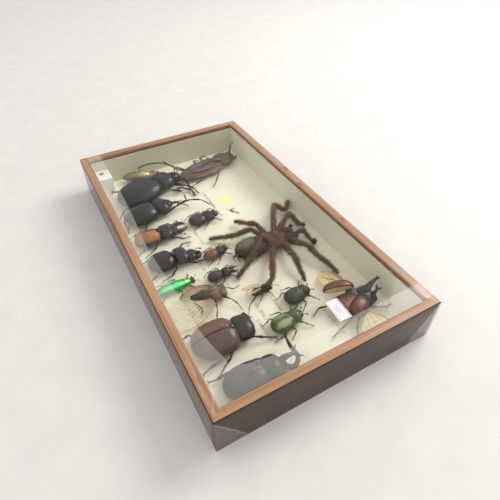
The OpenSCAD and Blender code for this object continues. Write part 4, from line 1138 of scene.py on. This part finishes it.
orange = Specimen("orange_stag_beetle", -62, 43)
orange.plate("cases", (-12, 0.6, 7), (28, 24, 8, 5), (2.4, 3.4), (40, 60), wing_cases(24, 1, 0.0, 0.55, 0.5),
             lean=-14)
orange.plate("rim", (-12, 0, 5.8), (28.6, 25, 5.0, 4.6), (2.4, 3.4), (30, 48))
orange.add("rim", tube(curve([(-25, 1.6, 10.8), (-18, 2.2, 14), (-8, 2.4, 14.8), (1, 2, 13.2)], 5),
                       [0.5] * 16, 8))
orange.plate("dark", (0.2, 0, 13.6), (5, 6, 1.2, 1.2), (1.7, 2.4), (12, 18), tip=6)
orange.plate("dark", (8, 0, 7), (15.5, 22.5, 6.4, 5), (3.6, 3.2), (28, 48), plate_rim(0.6, 0.4))
orange.plate("dark", (16.8, 0, 6), (11, 16.5, 5, 4), (3, 3), (22, 40), plate_rim(0.5, 1.3))
for s in (1, -1):
    stag_jaw(orange, s)
    ball(orange, "eye", (17.5, s * 8, 7), (3, 2.2, 1.7), 8, 12)
    feeler(orange, "dark", [(19, s * 7.4, 6), (23, s * 12, 7.5), (27, s * 12.5, 6)], 0.45, 2.2, 9)
legs(orange, "dark", [
    [(-8, 8), (-16, 13), (-24, 11.5), (-31, 12)], [(-8, -8), (-17, -13), (-22, -16), (-27, -16)],
    [(0, -8), (-6, -15), (-12, -20), (-22, -23)], [(8, -8), (15, -15), (22, -18), (29, -15)],
    [(8, 8), (14, 12), (20, 13)]], 2.7, spikes=4)
orange.settle({
    "cases": chitin("orange_cases", (134, 90, 56), (168, 118, 76), (0.3, 0.45), 200, 0.3, 0.15),
    "rim": chitin("orange_rim", (58, 42, 34), (80, 58, 46), (0.3, 0.45)),
    "dark": chitin("stag_brown", (28, 24, 22), (50, 42, 38), (0.28, 0.42), 500)},
    {"shell": "shell_orange", "cases": "shell_orange", "dark": "shell_brown", "rim": "shell_brown"})

stag = Specimen("black_stag_beetle", -62, 1)
stag.plate("shell", (-12, 0, 7), (28, 26, 8.4, 5), (2.4, 3.4), (40, 64), wing_cases(26, 8, 0.12, 0.7, 0.5))
stag.plate("shell", (8, 0, 7), (16, 22.5, 6.6, 5), (3.6, 3.2), (28, 48), plate_rim(0.6, 0.3))
stag.plate("shell", (18, -4, 6), (13, 15, 5.4, 4), (3, 2.8), (22, 40), plate_rim(0.4, 0.8), turn=-18)
stag.plate("shell", (0, 0, 13.8), (4.4, 5, 1.1, 1.1), (1.7, 2.4), (12, 18), tip=6)
for s in (1, -1):
    ball(stag, "eye", on(-18, (18.4, s * 6.6 + 1.6, 7)), (3, 2.2, 1.7), 8, 12)
    horn(stag, "dark", [on(-18, (23, s * 3.4 + 1.6, 6)), on(-18, (27, s * 2.8 + 1.6, 6.4)),
                        on(-18, (29.2, s * 0.6 + 1.6, 6.2))], [2.4, 2.0, 0.5])
    feeler(stag, "dark", [on(-18, (22, s * 5.5 + 1.6, 6)), on(-18, (25, s * 9 + 1.6, 7)),
                          on(-18, (30, s * 9 + 1.6, 5.6))], 0.45, 2.1, 9)
legs(stag, "dark", [
    [(-6, 8), (-14, 13), (-20, 12), (-29, 11)], [(8, 6), (13, 12), (17, 17), (26, 19)],
    [(-8, -8), (-18, -14), (-28, -17), (-33, -20)], [(0, -8), (-2, -16), (-9, -21), (-18, -21)],
    [(8, -8), (12, -14), (20, -17), (29, -14), (36, -14)], [(-2, 8), (-4, 14), (-13, 15), (-21, 14)]], 3.0,
    spikes=4)
stag.settle({"shell": chitin("stag_black", (20, 17, 17), (40, 33, 31), (0.24, 0.38), 400, 0.45),
             "dark": horn_black}, {"shell": "shell_black"})


# ---- Three small ground beetles ----
# Small beetles with ribbed wing cases in dark red and orange-brown, and one with a long
# waist and pinching jaws.
def small_beetle(name, x, y, turn, length, width, waist):
    """A ground beetle with its jaws, feelers and legs; waist is how far its neck is drawn out."""
    body = Specimen(name, x, y, turn)
    k = length / 32
    body.plate("cases", (-7 * k, 0, 5), (20 * k, width, 6.2, 4), (2.4, 3), (34, 56),
               wing_cases(width, 7, 0.16, 0.4, 0.3))
    body.plate("dark", ((6 + waist) * k, 0, 5), ((13 - waist) * k, width * 0.94, 5, 4), (3.4, 3), (24, 40),
               plate_rim(0.35, 0.2))
    body.plate("dark", (14 * k, 0, 5), (7.5 * k, width * 0.52, 4, 3), (3, 2.2), (18, 28), plate_rim(0.2, 0.4))
    edge = width / 2
    for s in (-1, 1):
        ball(body, "eye", (14 * k, s * width * 0.25, 6.4), (2.2, 1.5, 1.2), 8, 12)
        feeler(body, "dark", [(15.5 * k, s * width * 0.16, 6), (18 * k, s * width * 0.36, 7),
                              (20.5 * k, s * width * 0.5, 5)], 0.32, 1, 9)
        horn(body, "dark", [(16.4 * k, s * 1.6, 5), (18.8 * k, s * 1.9, 5), (19.8 * k, s * 0.4, 5)],
             [0.8, 0.6, 0.12])
        legs(body, "dark", [
            [(-6 * k, s * 4), (-9 * k, s * (edge + 2)), (-13 * k, s * (edge + 3)), (-17 * k, s * (edge + 2))],
            [(0, s * 4), (1 * k, s * (edge + 2)), (-3 * k, s * (edge + 5)), (-6 * k, s * (edge + 6))],
            [(8 * k, s * 3), (11 * k, s * (edge + 1)), (15 * k, s * (edge + 3)), (18 * k, s * (edge + 2))]],
            1.7, 4.3, 6, 2, 4)
    return body


red_small = small_beetle("dark_red_beetle", -7, 48, 4, 33, 18, 0)
red_small.settle({"cases": chitin("red_cases", (50, 31, 31), (80, 50, 47), (0.28, 0.42), 350, 0.35, 0.4),
                  "dark": chitin("red_dark", (30, 26, 27), (52, 45, 44), (0.3, 0.45), 400, 0.25, 0.45)},
                  {"shell": "shell_brown"})
orange_small = small_beetle("small_orange_beetle", -20, -11, 8, 26, 13, 0)
orange_small.settle({"cases": chitin("rust_cases", (88, 58, 42), (128, 86, 60), (0.3, 0.45), 260, 0.3, 0.35),
                     "dark": chitin("rust_dark", (32, 32, 29), (54, 52, 46), (0.3, 0.45), 400, 0.25, 0.4)},
                     {"shell": "shell_orange", "dark": "shell_black"})
waisted = small_beetle("small_dark_beetle", -29, -41, 0, 26, 12, 1.5)
for s in (-1, 1):
    horn(waisted, "dark", [(12, s * 2, 5), (16, s * 3.4, 5.2), (19.5, s * 1.2, 5)], [1.1, 0.9, 0.2])
waisted.settle({"cases": chitin("plum_cases", (54, 35, 37), (84, 57, 57), (0.28, 0.42), 350, 0.35, 0.4),
                "dark": chitin("plum_dark", (44, 32, 33), (70, 52, 51), (0.3, 0.45), 400, 0.25, 0.4)},
                {"shell": "shell_brown"})

# ---- Cicada ----
# A brown, lobed cicada with one wing folded along its side and one spread, milky and veined,
# with a dark zigzag and a row of dots.
cicada = Specimen("cicada", -47, -61, lies=-12)


def rings_of(p, u, a):
    """The rings of a hind body."""
    p[..., 2] -= 0.3 * np.clip(np.sin(a), 0, 1) * (0.5 - 0.5 * np.cos(np.arccos(np.clip(-u, -1, 1)) * 12))
    return p


def lobes(p, u, a):
    """The two furrows that part the chest into lobes."""
    over = np.clip(np.sin(a), 0, 1)
    p[..., 2] -= 0.7 * over * np.exp(-((np.abs(p[..., 1]) - 2.6 - (p[..., 0] + 3) * 0.25) / 0.7) ** 2)
    return p


cicada.plate("tail", (-9, 1, 6), (25, 12.6, 5.6, 4), (1.2, 3), (40, 40), rings_of)
cicada.plate("lobe", (2, 1, 6), (15, 17, 6.2, 5), (3, 3), (28, 44), lobes)
cicada.plate("shell", (10, 1, 6), (7, 15.5, 4.2, 4), (3, 4), (20, 36), lobes)
for y, turn in ((-5.4, 8), (-1.9, 3), (1.9, -3), (5.4, -8)):
    cicada.plate("tail", (2.4, 1 + y, 12.0 - abs(y) * 0.36), (12, 1.5, 0.5, 0.5), (1.8, 2.2), (14, 16),
                 turn=turn, tip=-4, lean=-y * 4)
cicada.plate("tail", (6.4, 1, 9.7), (1.6, 13, 0.5, 0.5), (2, 2), (12, 24))
for s in (1, -1):
    ball(cicada, "eye", on(-12, (10.5, 1 + s * 7.4, 6.6)), (3.6, 3.2, 2), 8, 14)
legs(cicada, "limb", [
    [(8, 0), (15, 1), (21, -2), (28, 1)], [(6, -5), (13, -14), (16, -20), (17, -26)],
    [(0, -4), (-4, -18), (-8, -25), (-11, -30)], [(4, 8), (-1, 14), (-6, 13)]], 1.8, 5, 6, 2, 4)
chest = turned(dome(15, 17, 6.3, 5, 3, 3, 20, 30), -12, to=on(-12, (2, 1, 6)))
coat(cicada, "down", chest, 420, 1.0, 0.06, 520)
cicada.settle({"shell": chitin("cicada_shell", (50, 40, 34), (142, 116, 94), (0.45, 0.6), 420, 0.1, 0.5),
               "lobe": chitin("cicada_lobe", (56, 43, 36), (150, 122, 98), (0.4, 0.55), 380, 0.1, 0.5),
               "tail": chitin("cicada_tail", (52, 45, 40), (86, 75, 67), (0.45, 0.6), 380, 0.1, 0.4),
               "down": finish("cicada_down", (120, 100, 82), (160, 138, 116), 900, rough=(0.7, 0.85),
                              bump=0.2),
               "limb": chitin("cicada_limb", (54, 43, 36), (86, 70, 58), (0.45, 0.6))},
               {"shell": "bug_brown"})


def gauze(name, dark, pale, through=0.3, grain=160):
    """Dry wing skin: thin, a little see-through, faintly crinkled."""
    made = finish(name, dark, pale, grain, rough=(0.35, 0.5), bump=0.4, Coat_Weight=0.2, Coat_Roughness=0.3)
    tree = made.node_tree
    mixed = node(tree, "MixShader", {"Fac": through, 1: tree.nodes["Principled BSDF"].outputs["BSDF"],
                                     2: node(tree, "BsdfTransparent").outputs["BSDF"]})
    tree.links.new(mixed.outputs["Shader"], tree.nodes["Material Output"].inputs["Surface"])
    return made


flight = Specimen("cicada_wings", -47, -61)
wing(flight, "skin", "vein", [(-1, 7.4), (-10, 12.4), (-20, 12.8), (-30, 9)],
     [(-3, 3), (-12, 4.4), (-21, 5), (-30, 6)],
     11.4, (0, -6, 0), (0.0, 0.3, 0.62, 1.0), 4, 0.3, 0.7)
sail = wing(flight, "sail", "sail_vein", [(-2.9, -12.7), (-14, -20.5), (-28, -25), (-42, -24.5)],
            [(-4, -3), (-14, 1), (-26, 6), (-38.6, 10.2)], 7.6, (0, -5, 0),
            (0.0, 0.1, 0.2, 0.3, 0.4, 0.5, 0.6, 0.7, 0.8, 0.9, 1.0), 8, 0.22, 0.5, 3.5)


def on_sail(x, y):
    """A place just above the skin of the spread wing."""
    spot = int(np.argmin((sail[..., 0] - x) ** 2 + (sail[..., 1] - y) ** 2))
    return np.array([x, y, sail.reshape(-1, 3)[spot, 2] + 0.16])


for a, b in (((-19.6, -1.6), (-17.4, -6)), ((-17.4, -6), (-15.6, -12.6)), ((-15.6, -12.6), (-19.4, -17)),
             ((-17, -7.4), (-20, -9)), ((-16.3, -10), (-19.6, -12)), ((-15.8, -12.8), (-19, -14.8))):
    flight.add("mark", tube([on_sail(*np.array(a) + (np.array(b) - a) * t) for t in (0, 0.25, 0.5, 0.75, 1)],
                            [0.3, 0.5, 0.5, 0.4, 0.15], 6, 0.25))
for x, y in ((-27.2, -6.5), (-25.1, -10.1), (-27.3, -14.9), (-30.4, -3), (-24.6, -13), (-31.4, -17.4),
             (-29.4, -10.6)):
    ball(flight, "mark", on_sail(x, y), (1.7, 0.9, 0.14), 6, 10)
sail_skin = gauze("cream_gauze", (222, 211, 176), (234, 226, 198), 0.35)
blot(sail_skin, -0.051, -0.0705, 0.022, 0.02, (160, 130, 96), 0.8, 0.3)
blot(sail_skin, -0.056, -0.079, 0.028, 0.009, (170, 142, 106), 0.6, 0.4)
flight.settle({"skin": gauze("brown_gauze", (150, 126, 98), (184, 160, 130), 0.12),
               "vein": chitin("brown_vein", (92, 72, 54), (120, 96, 74), (0.4, 0.55)),
               "sail": sail_skin,
               "sail_vein": chitin("cream_vein", (160, 140, 106), (186, 166, 130), (0.4, 0.55)),
               "mark": chitin("wing_mark", (62, 50, 41), (88, 72, 58), (0.5, 0.6), 700, 0)},
               {"shell": "wing_cream"})

# ---- Brown rhinoceros beetle ----
# A heavy, hornless beetle: one wing case tan where the light lies along it, the other plum
# brown, and a coal-black neck plate with fine pits.
brown = Specimen("brown_rhino_beetle", -60, -108)
brown.plate("cases", (-8, -1, 8), (42, 36, 11, 6), (2.4, 4.4), (44, 64), wing_cases(36, 5, 0.14, 0.9, 0.6))
brown.add("seam", tube(curve([(-27, -1, 14), (-20, -1, 17.2), (-10, -1, 18.6), (2, -1, 18.2), (9, -1, 16.4)],
                             6), [0.2, 0.3] + [0.42] * 22 + [0.3], 8))
brown.plate("dark", (18.6, -1.4, 8), (19.5, 26, 8.2, 6), (5, 2.6), (30, 52), plate_rim(0.7, 0.2), turn=-6)
brown.plate("dark", (8, -1, 17.2), (5.5, 6, 1.3, 1.3), (1.7, 2.4), (12, 18), tip=8)
brown.plate("dark", (25, -1, 7), (8.5, 12, 4.2, 4), (3, 2.2), (18, 28), plate_rim(0.3, 0.6))
for s in (1, -1):
    ball(brown, "eye", (24.5, -1 + s * 5.6, 8.6), (3.2, 2.4, 1.7), 8, 12)
spike(brown, "dark", (27.5, -1, 9.6), (0.4, 0, 1), 1.6, 1.0)
legs(brown, "limb", [
    [(-8, 10), (-8, 18), (-4, 20)], [(-18, 8), (-26, 14), (-30, 16)],
    [(-6, -12), (-10, -21), (-22, -22), (-29, -23)],
    [(6, -8), (-4, -23), (-12, -27), (-18, -31)], [(16, -8), (24, -15), (30, -17), (40, -21)],
    [(20, 6), (25, 12), (28, 13), (31, 9)]],
    3.6, spikes=6)
plum = chitin("brown_cases", (74, 56, 53), (98, 76, 70), (0.3, 0.44), 90, 0.35, 0.2)
blot(plum, -0.067, -0.0985, 0.056, 0.0215, (110, 78, 60), 0.85, 0.12)
brown.settle({"cases": plum, "seam": chitin("case_seam", (40, 29, 26), (60, 45, 40), (0.4, 0.5)),
              "dark": chitin("coal_plate", (28, 28, 26), (48, 47, 44), (0.3, 0.44), 500, 0.35, 0.4),
              "limb": horn_black}, {"shell": "shell_brown", "dark": "shell_black", "limb": "shell_black"})

# ---- Horned rhinoceros beetle ----
# A grey-black male with one forked horn over its neck and a longer curved one on its head.
# It is dry hard shell, and the pin through its back holds it to the board.
horned = Specimen("horned_rhino_beetle", -57, -155.5)
horned.plate("shell", (-6, 0, 8), (40, 29, 11, 6), (2.4, 3.2), (44, 64), wing_cases(29, 6, 0.12, 0.7, 0.5))
horned.plate("shell", (17, 0, 8), (20, 24, 9.2, 6), (3, 2.4), (30, 52), plate_rim(0.6, 0.0))
horned.plate("shell", (26, -2, 7), (9, 12, 4.4, 4), (3, 2.2), (18, 28), plate_rim(0.3, 0.5))
horn(horned, "horn", [(23, 0, 13), (28, 0, 15), (33, 0, 15), (37.4, 0, 14.4)], [3.2, 2.6, 2.0, 1.7], 14, 8)
for s in (-1, 1):
    horn(horned, "horn", [(36.4, 0, 14.4), (39.4, s * 2.6, 14.6), (43.2, s * 6.4, 13.8)], [1.7, 1.2, 0.25],
         12, 8)
horn(horned, "horn", [(25, -2.4, 8), (33, -8, 9), (39.4, -3, 12), (38.8, 8, 14), (41, 21, 14)],
     [2.7, 2.3, 1.9, 1.6, 0.4], 14, 9)
for s in (-1, 1):
    horn(horned, "horn", [(40, 16.5, 14), (41.5 + s * 1.4, 20, 14.2), (41.4 + s * 2.8, 23, 13.8)],
         [1.3, 0.9, 0.2], 10, 6)
    ball(horned, "eye", (26, -2 + s * 5.2, 8.4), (3, 2.2, 1.6), 8, 12)
legs(horned, "dark", [
    [(4, 6), (-1, 14), (12, 15), (22, 12)], [(-8, 6), (-15, 15), (-24, 14), (-31, 16)],
    [(-10, -8), (-20, -14), (-30, -15)], [(8, -6), (13, -14), (20, -17), (27, -17)]],
    3.4, 5, 6, 3, 6)
horned.settle({"shell": chitin("grey_cases", (26, 25, 26), (44, 42, 42), (0.34, 0.5), 260, 0.2, 0.35),
               "horn": chitin("horn_gloss", (20, 18, 18), (38, 35, 34), (0.26, 0.4), 500, 0.35),
               "dark": horn_black}, {"shell": "shell_black"})

# ---- Red-brown rhinoceros beetle, wings open ----
# A dark red male set with its wing cases raised and its amber flying wings drawn out over a
# striped belly. A broad forked horn rises from the neck over the forked horn of the head.
red = Specimen("red_rhino_beetle", 60, -136)


def stripes(p, u, a):
    """The folds of the soft belly."""
    p[..., 2] -= 0.35 * (0.5 - 0.5 * np.cos(p[..., 0] * 2 * np.pi / 3.4)) * np.clip(np.sin(a) + 0.2, 0, 1)
    return p


red.plate("belly", (-6.5, 2.4, 8), (29, 24, 6.4, 6), (2.4, 3.4), (50, 44), stripes)
for x in (-17, -13.6, -10.2, -6.8, -3.4, 0):
    half = 12 * math.sqrt(1 - abs((x + 6.5) / 14.5) ** 2.6)
    red.add("band", hoop(x, 2.4, 8, half, half / 12 * 6.3, 0.22, 15, 22))
joint = turned(dome(12, 15, 5, 5, 2.6, 2.6, 22, 32), to=(5.5, 8.6, 9.6))
red.add("joint", joint)
coat(red, "down", joint, 420, 1.4, 0.12, 540, (-0.3, 0, 0), 0.5)
red.plate("coal", (13, 2, 8.6), (17, 21, 8.4, 7), (3.4, 2.4), (32, 56), plate_rim(0.6, 0.0), turn=8)
red.plate("coal", (20, -1, 7), (9.5, 11, 5, 4), (3, 2.2), (18, 28), plate_rim(0.3, 0.5))
horn(red, "coal", [(13, 3, 14), (16.5, 3.6, 17.6), (21, 4.4, 21.2), (26.4, 5, 23.6)], [4.6, 3.6, 2.2, 1.3],
     16, 8)
horn(red, "coal", [(19, -1, 9.6), (21.6, -1.8, 14.4), (24, -1.4, 17.2)], [2.4, 1.7, 1.2], 14, 8)
for tip in ((29.6, 6.6, 24.4), (30.6, 3, 23.6)):
    horn(red, "coal", [(25.6, 4.9, 23.4), (28, 4.9 + (tip[1] - 4.9) * 0.4, 24), tip], [1.3, 1.0, 0.2], 12, 6)
for tip in ((26.6, 2.2, 18.4), (28.2, -3.4, 17.8)):
    horn(red, "coal", [(23.4, -1.5, 16.8), ((23.4 + tip[0]) / 2, tip[1] * 0.6 - 0.6, 17.8), tip],
         [1.2, 0.9, 0.15], 10, 6)
for s in (-1, 1):
    ball(red, "eye", (20.4, -1 + s * 4.9, 8.6), (2.8, 2, 1.6), 8, 12)
legs(red, "limb", [
    [(-6, 6), (-23, 10), (-30, 13), (-37, 10)], [(-6, -8), (-16, -13), (-25, -15), (-35, -17)],
    [(0, -8), (-9, -17), (-14, -22), (-17, -27)], [(8, -7), (18, -14), (25, -16), (33, -14)],
    [(8, 8), (13, 13), (21, 15), (28, 15)]], 2.8, spikes=5)
red.settle({"belly": chitin("striped_belly", (92, 66, 50), (126, 94, 72), (0.4, 0.55), 300, 0.15),
            "band": chitin("belly_band", (142, 114, 88), (172, 142, 114), (0.4, 0.55), 500, 0.1),
            "joint": chitin("joint_skin", (78, 68, 58), (118, 104, 90), (0.5, 0.65), 500, 0.05),
            "down": finish("joint_down", (130, 116, 98), (168, 152, 130), 900, rough=(0.7, 0.85), bump=0.2),
            "coal": chitin("coal_shell", (34, 37, 36), (60, 64, 62), (0.28, 0.42), 200, 0.35, 0.08),
            "limb": chitin("red_limb", (40, 30, 28), (66, 50, 46), (0.3, 0.45))}, {"shell": "shell_brown"})

raised = Specimen("red_rhino_wings", 60, -136)
for size, turn, lean, place in (((30, 15, 8.4), -17, -70, (-8.4, 14.6, 18.2)),
                                ((24, 17, 5.4), 24, 18, (-0.4, -7.4, 12))):
    raised.plate("case", place, (*size, 0.5), (2.2, 2.8), (30, 44), turn=turn, lean=lean)
    raised.plate("lining", place, (size[0] * 0.92, size[1] * 0.86, 0.3, 0.9), (2.2, 2.8), (22, 32),
                 turn=turn, lean=lean)
wing(raised, "gauze", "vein", [(4, 17), (8, 26), (9.6, 36.5), (7.6, 47), (1.6, 53.6)],
     [(0, 17), (-6, 24), (-11.3, 33), (-8.4, 45), (1.6, 53.8)],
     15.6, (-14, 0, 0), (0.0, 0.12, 0.35, 0.6, 1.0), 3, 0.24, 1.0)
horn(raised, "costa", [(4, 17, 12.4), (7.4, 24.6, 10.6), (9.4, 33, 8.4), (8, 40, 6.6)], [0.9, 1.5, 1.1, 0.4],
     10, 7, 0.3)
horn(raised, "vein", [(4, 18, 12.3), (3.4, 27, 10.6), (-2, 38, 7.4), (-5, 44, 5.4)], [0.5, 0.45, 0.35, 0.2],
     8, 7, 0.5)
wing(raised, "gauze", "vein", [(3, -12.8), (9, -20), (13, -27), (12.8, -34)],
     [(1, -13), (-6, -20), (-13.8, -26), (-12, -34)],
     11.6, (5, 0, 0), (0.0, 0.2, 0.45, 0.7, 1.0), 3, 0.22, 0.8, 2.0)
horn(raised, "costa", [(4, -13, 11), (9, -19.4, 10.2), (12.6, -26, 9.6), (13, -32, 9)], [0.7, 1.1, 0.8, 0.3],
     10, 7, 0.3)
raised.settle({"case": chitin("red_case", (80, 44, 38), (112, 64, 54), (0.34, 0.48), 300, 0.2, 0.05),
               "lining": chitin("case_lining", (206, 184, 132), (226, 206, 156), (0.4, 0.55), 300, 0.1),
               "gauze": gauze("amber_gauze", (222, 196, 128), (240, 218, 156), 0.42, 220),
               "vein": chitin("amber_vein", (120, 84, 52), (152, 110, 72), (0.35, 0.5)),
                "costa": chitin("amber_edge", (150, 104, 62), (188, 138, 88), (0.35, 0.5))},
              {"shell": "wing_amber", "case": "shell_brown"})

# ---- Wasp-like insect ----
# A small dark hairy insect with a red-brown tail, short pale amber wings and thin bent legs.
# The wings are thin dry skin on stiff veins and stand out from the chest.
wasp = Specimen("wasp", -5, -78)
wasp.plate("tail", (-4, 0, 5), (12.5, 8, 4, 4), (1.8, 3), (30, 36), rings_of)
chest = turned(dome(9, 8.6, 4.4, 3.6, 2.4, 3, 20, 30), to=(4.6, 0, 5.2))
wasp.add("dark", chest)
coat(wasp, "fuzz", chest, 420, 1.1, 0.06, 500, (-0.4, 0, 0), 0.5)
wasp.plate("dark", (9.8, -0.6, 5), (4, 6.4, 2.8, 2.8), (2.4, 2.2), (14, 24))
for s in (1, -1):
    ball(wasp, "eye", (10.2, -0.6 + s * 2.7, 5.8), (2, 1.6, 1.6), 8, 12)
    feeler(wasp, "dark", [(11.6, s * 1.2 - 0.6, 6), (15, s * 2.6, 7.6), (18, s * 4.8, 6)], 0.3, 1, 10)
for place in ((0.2, 1.1, 9.4), (-7, 2.6, 9)):
    ball(wasp, "spot", place, (1.9, 1.3, 0.4), 8, 12)
legs(wasp, "dark", [
    [(-6, -3), (-18, -11), (-21, -15), (-24, -20)], [(0, -3), (-2, -7), (-6, -10), (-11, -13)],
    [(4, -2), (7, -7), (9, -12)], [(6, 2), (9, 5), (12, 9)], [(-2, 3), (-5, 7), (-11, 8)]], 1.3, 4, 5, 2, 3)
wasp.settle({"dark": chitin("wasp_dark", (27, 23, 20), (50, 42, 36), (0.34, 0.5), 700, 0.2),
             "tail": chitin("wasp_tail", (58, 38, 30), (96, 64, 48), (0.45, 0.6), 500, 0.1),
             "fuzz": finish("wasp_fuzz", (52, 42, 34), (96, 78, 62), 1200, rough=(0.7, 0.85), bump=0.2),
             "spot": chitin("wasp_spot", (214, 212, 204), (228, 226, 218), (0.4, 0.5), 900, 0.1)},
             {"shell": "shell_black"})
hover = Specimen("wasp_wings", -5, -78)
wing(hover, "gauze", "vein", [(0, 3), (-7, 6.2), (-16.5, 7.6)], [(-1, 1.4), (-8, 2.6), (-16.5, 4.2)], 10,
     (0, -4, 0), (0.0, 0.5, 1.0), 3, 0.16, 0.3, 1.2)
wing(hover, "gauze", "vein", [(0, -2.6), (-9, -3.6), (-17.1, -3.4)], [(-1, -1.2), (-9, -0.6), (-16.8, -0.4)],
     10, (0, -4, 0), (0.0, 0.5, 1.0), 3, 0.16, 0.3, 1.2)
hover.settle({"gauze": gauze("honey_gauze", (208, 182, 132), (228, 206, 160), 0.3, 300),
              "vein": chitin("honey_vein", (140, 104, 66), (168, 132, 90), (0.35, 0.5))},
              {"shell": "wing_amber"})


# ---- Two chafers ----
# Rounded flower beetles. One is a dull dark green, the other greener, with a broad yellow
# highlight painted down each wing case.
def chafer(name, x, y, turn, length, width):
    """A rounded flower beetle with clubbed feelers and splayed legs."""
    body = Specimen(name, x, y, turn)
    k = length / 30
    body.plate("cases", (-4 * k, 0, 6), (22 * k, width, 7, 4), (2.6, 3.2), (38, 60),
               wing_cases(width, 5, 0.1, 0.4, 0.4))
    body.plate("plate", (8 * k, 0, 6), (10 * k, width * 0.8, 6, 4), (3.2, 2.6), (26, 44), plate_rim(0.4, 0.1))
    body.plate("plate", (3.6 * k, 0, 11.8), (4.2, 4.6, 1.0, 1.0), (1.6, 2.4), (12, 18), tip=8)
    body.plate("plate", (13 * k, 0, 5), (6 * k, width * 0.45, 4, 3), (3, 2.2), (18, 28), plate_rim(0.2, 0.5))
    edge = width / 2
    for s in (-1, 1):
        ball(body, "eye", (13 * k, s * width * 0.22, 6.6), (2.2, 1.6, 1.3), 8, 12)
        feeler(body, "dark", [(15 * k, s * 2, 5.4), (17 * k, s * 4, 6.4), (18.6 * k, s * 4.4, 5.2)], 0.34,
               2.3, 8)
        legs(body, "dark", [
            [(-6 * k, s * 5), (-10 * k, s * (edge + 2)), (-14 * k, s * (edge + 1)),
             (-18 * k, s * (edge + 1))],
            [(0, s * 5), (1, s * (edge + 3)), (-2, s * (edge + 5)), (-6, s * (edge + 7))],
            [(7 * k, s * 4), (11 * k, s * (edge + 1)), (13 * k, s * (edge + 3)), (16 * k, s * (edge + 6))]],
            2.0, 4.4, 5, 2, 4)
    return body


dark_green = chafer("dark_green_chafer", 22, -100, 8, 28, 17)
dark_green.settle({"cases": chitin("moss_cases", (38, 48, 32), (64, 76, 50), (0.4, 0.55), 300, 0.15, 0.35),
                   "plate": chitin("moss_plate", (36, 44, 32), (58, 68, 48), (0.4, 0.55), 400, 0.15, 0.35),
                   "dark": chitin("moss_limb", (42, 46, 38), (66, 68, 56), (0.35, 0.5))},
                   {"shell": "shell_green", "dark": "shell_black"})
light_green = chafer("light_green_chafer", -3, -121, 6, 33, 18)
shine = finish("leaf_cases", (58, 72, 44), (80, 96, 56), 240, rough=(0.34, 0.48), bump=0.25,
               Coat_Weight=0.25, Coat_Roughness=0.14, Specular_IOR_Level=0.3)
# Painted highlight: a broad pale yellow-green band laid down each wing case
blot(shine, -0.0085, -0.1255, 0.017, 0.0068, (152, 168, 116), 0.85, 0.4)
blot(shine, -0.009, -0.1175, 0.014, 0.0055, (134, 152, 102), 0.7, 0.4)
light_green.settle({"cases": shine, "plate": chitin("leaf_plate", (56, 68, 44), (82, 94, 60), (0.34, 0.48)),
                    "dark": chitin("leaf_limb", (50, 56, 42), (76, 82, 60), (0.35, 0.5))},
                    {"shell": "shell_olive", "dark": "shell_black"})

# ---- Loose leg ----
# A small dry leg that broke off one of the beetles: a thigh, a shin with spikes and a
# beaded foot. It lies on the card and nothing holds it.
loose = Specimen("loose_leg", 31, 48)
rod(loose, "dark", (-2.2, 3, 0.7), (1.4, -2.4, 0.8), THIGH, 1.6, 8)
rod(loose, "dark", (1.4, -2.4, 0.8), (5, -7.4, 0.8), SHIN, 1.3, 8)
foot_joints(loose, "dark", (-2.2, 3, 0.7), (-4.2, 6.4, 0.5), 1.0, 4)
rod(loose, "dark", (-2.2, 3, 0.7), (2.6, 4.6, 0.9), SHIN, 1.0, 6)
rod(loose, "dark", (2.6, 4.6, 0.9), (4.4, 2.8, 0.7), SHIN, 0.8, 6)
for t in (0.4, 0.6, 0.8):
    spike(loose, "dark", (1.4 + 3.6 * t, -2.4 - 5 * t, 0.8), (1, 0.4, 0.1), 0.9, 0.15)
loose.settle({"dark": chitin("loose_shell", (92, 82, 70), (128, 114, 98), (0.4, 0.55), 900, 0.1)},
             {"shell": "shell_brown"})

# ---- Insect pins ----
# Thin steel pins with small round heads go through each specimen and the card into the
# foam board, which grips them.
dress("specimen_pins", finish("pin_wire", (150, 148, 144), (196, 194, 190), 1200, rough=(0.2, 0.32),
                              bump=0.05, Metallic=1))
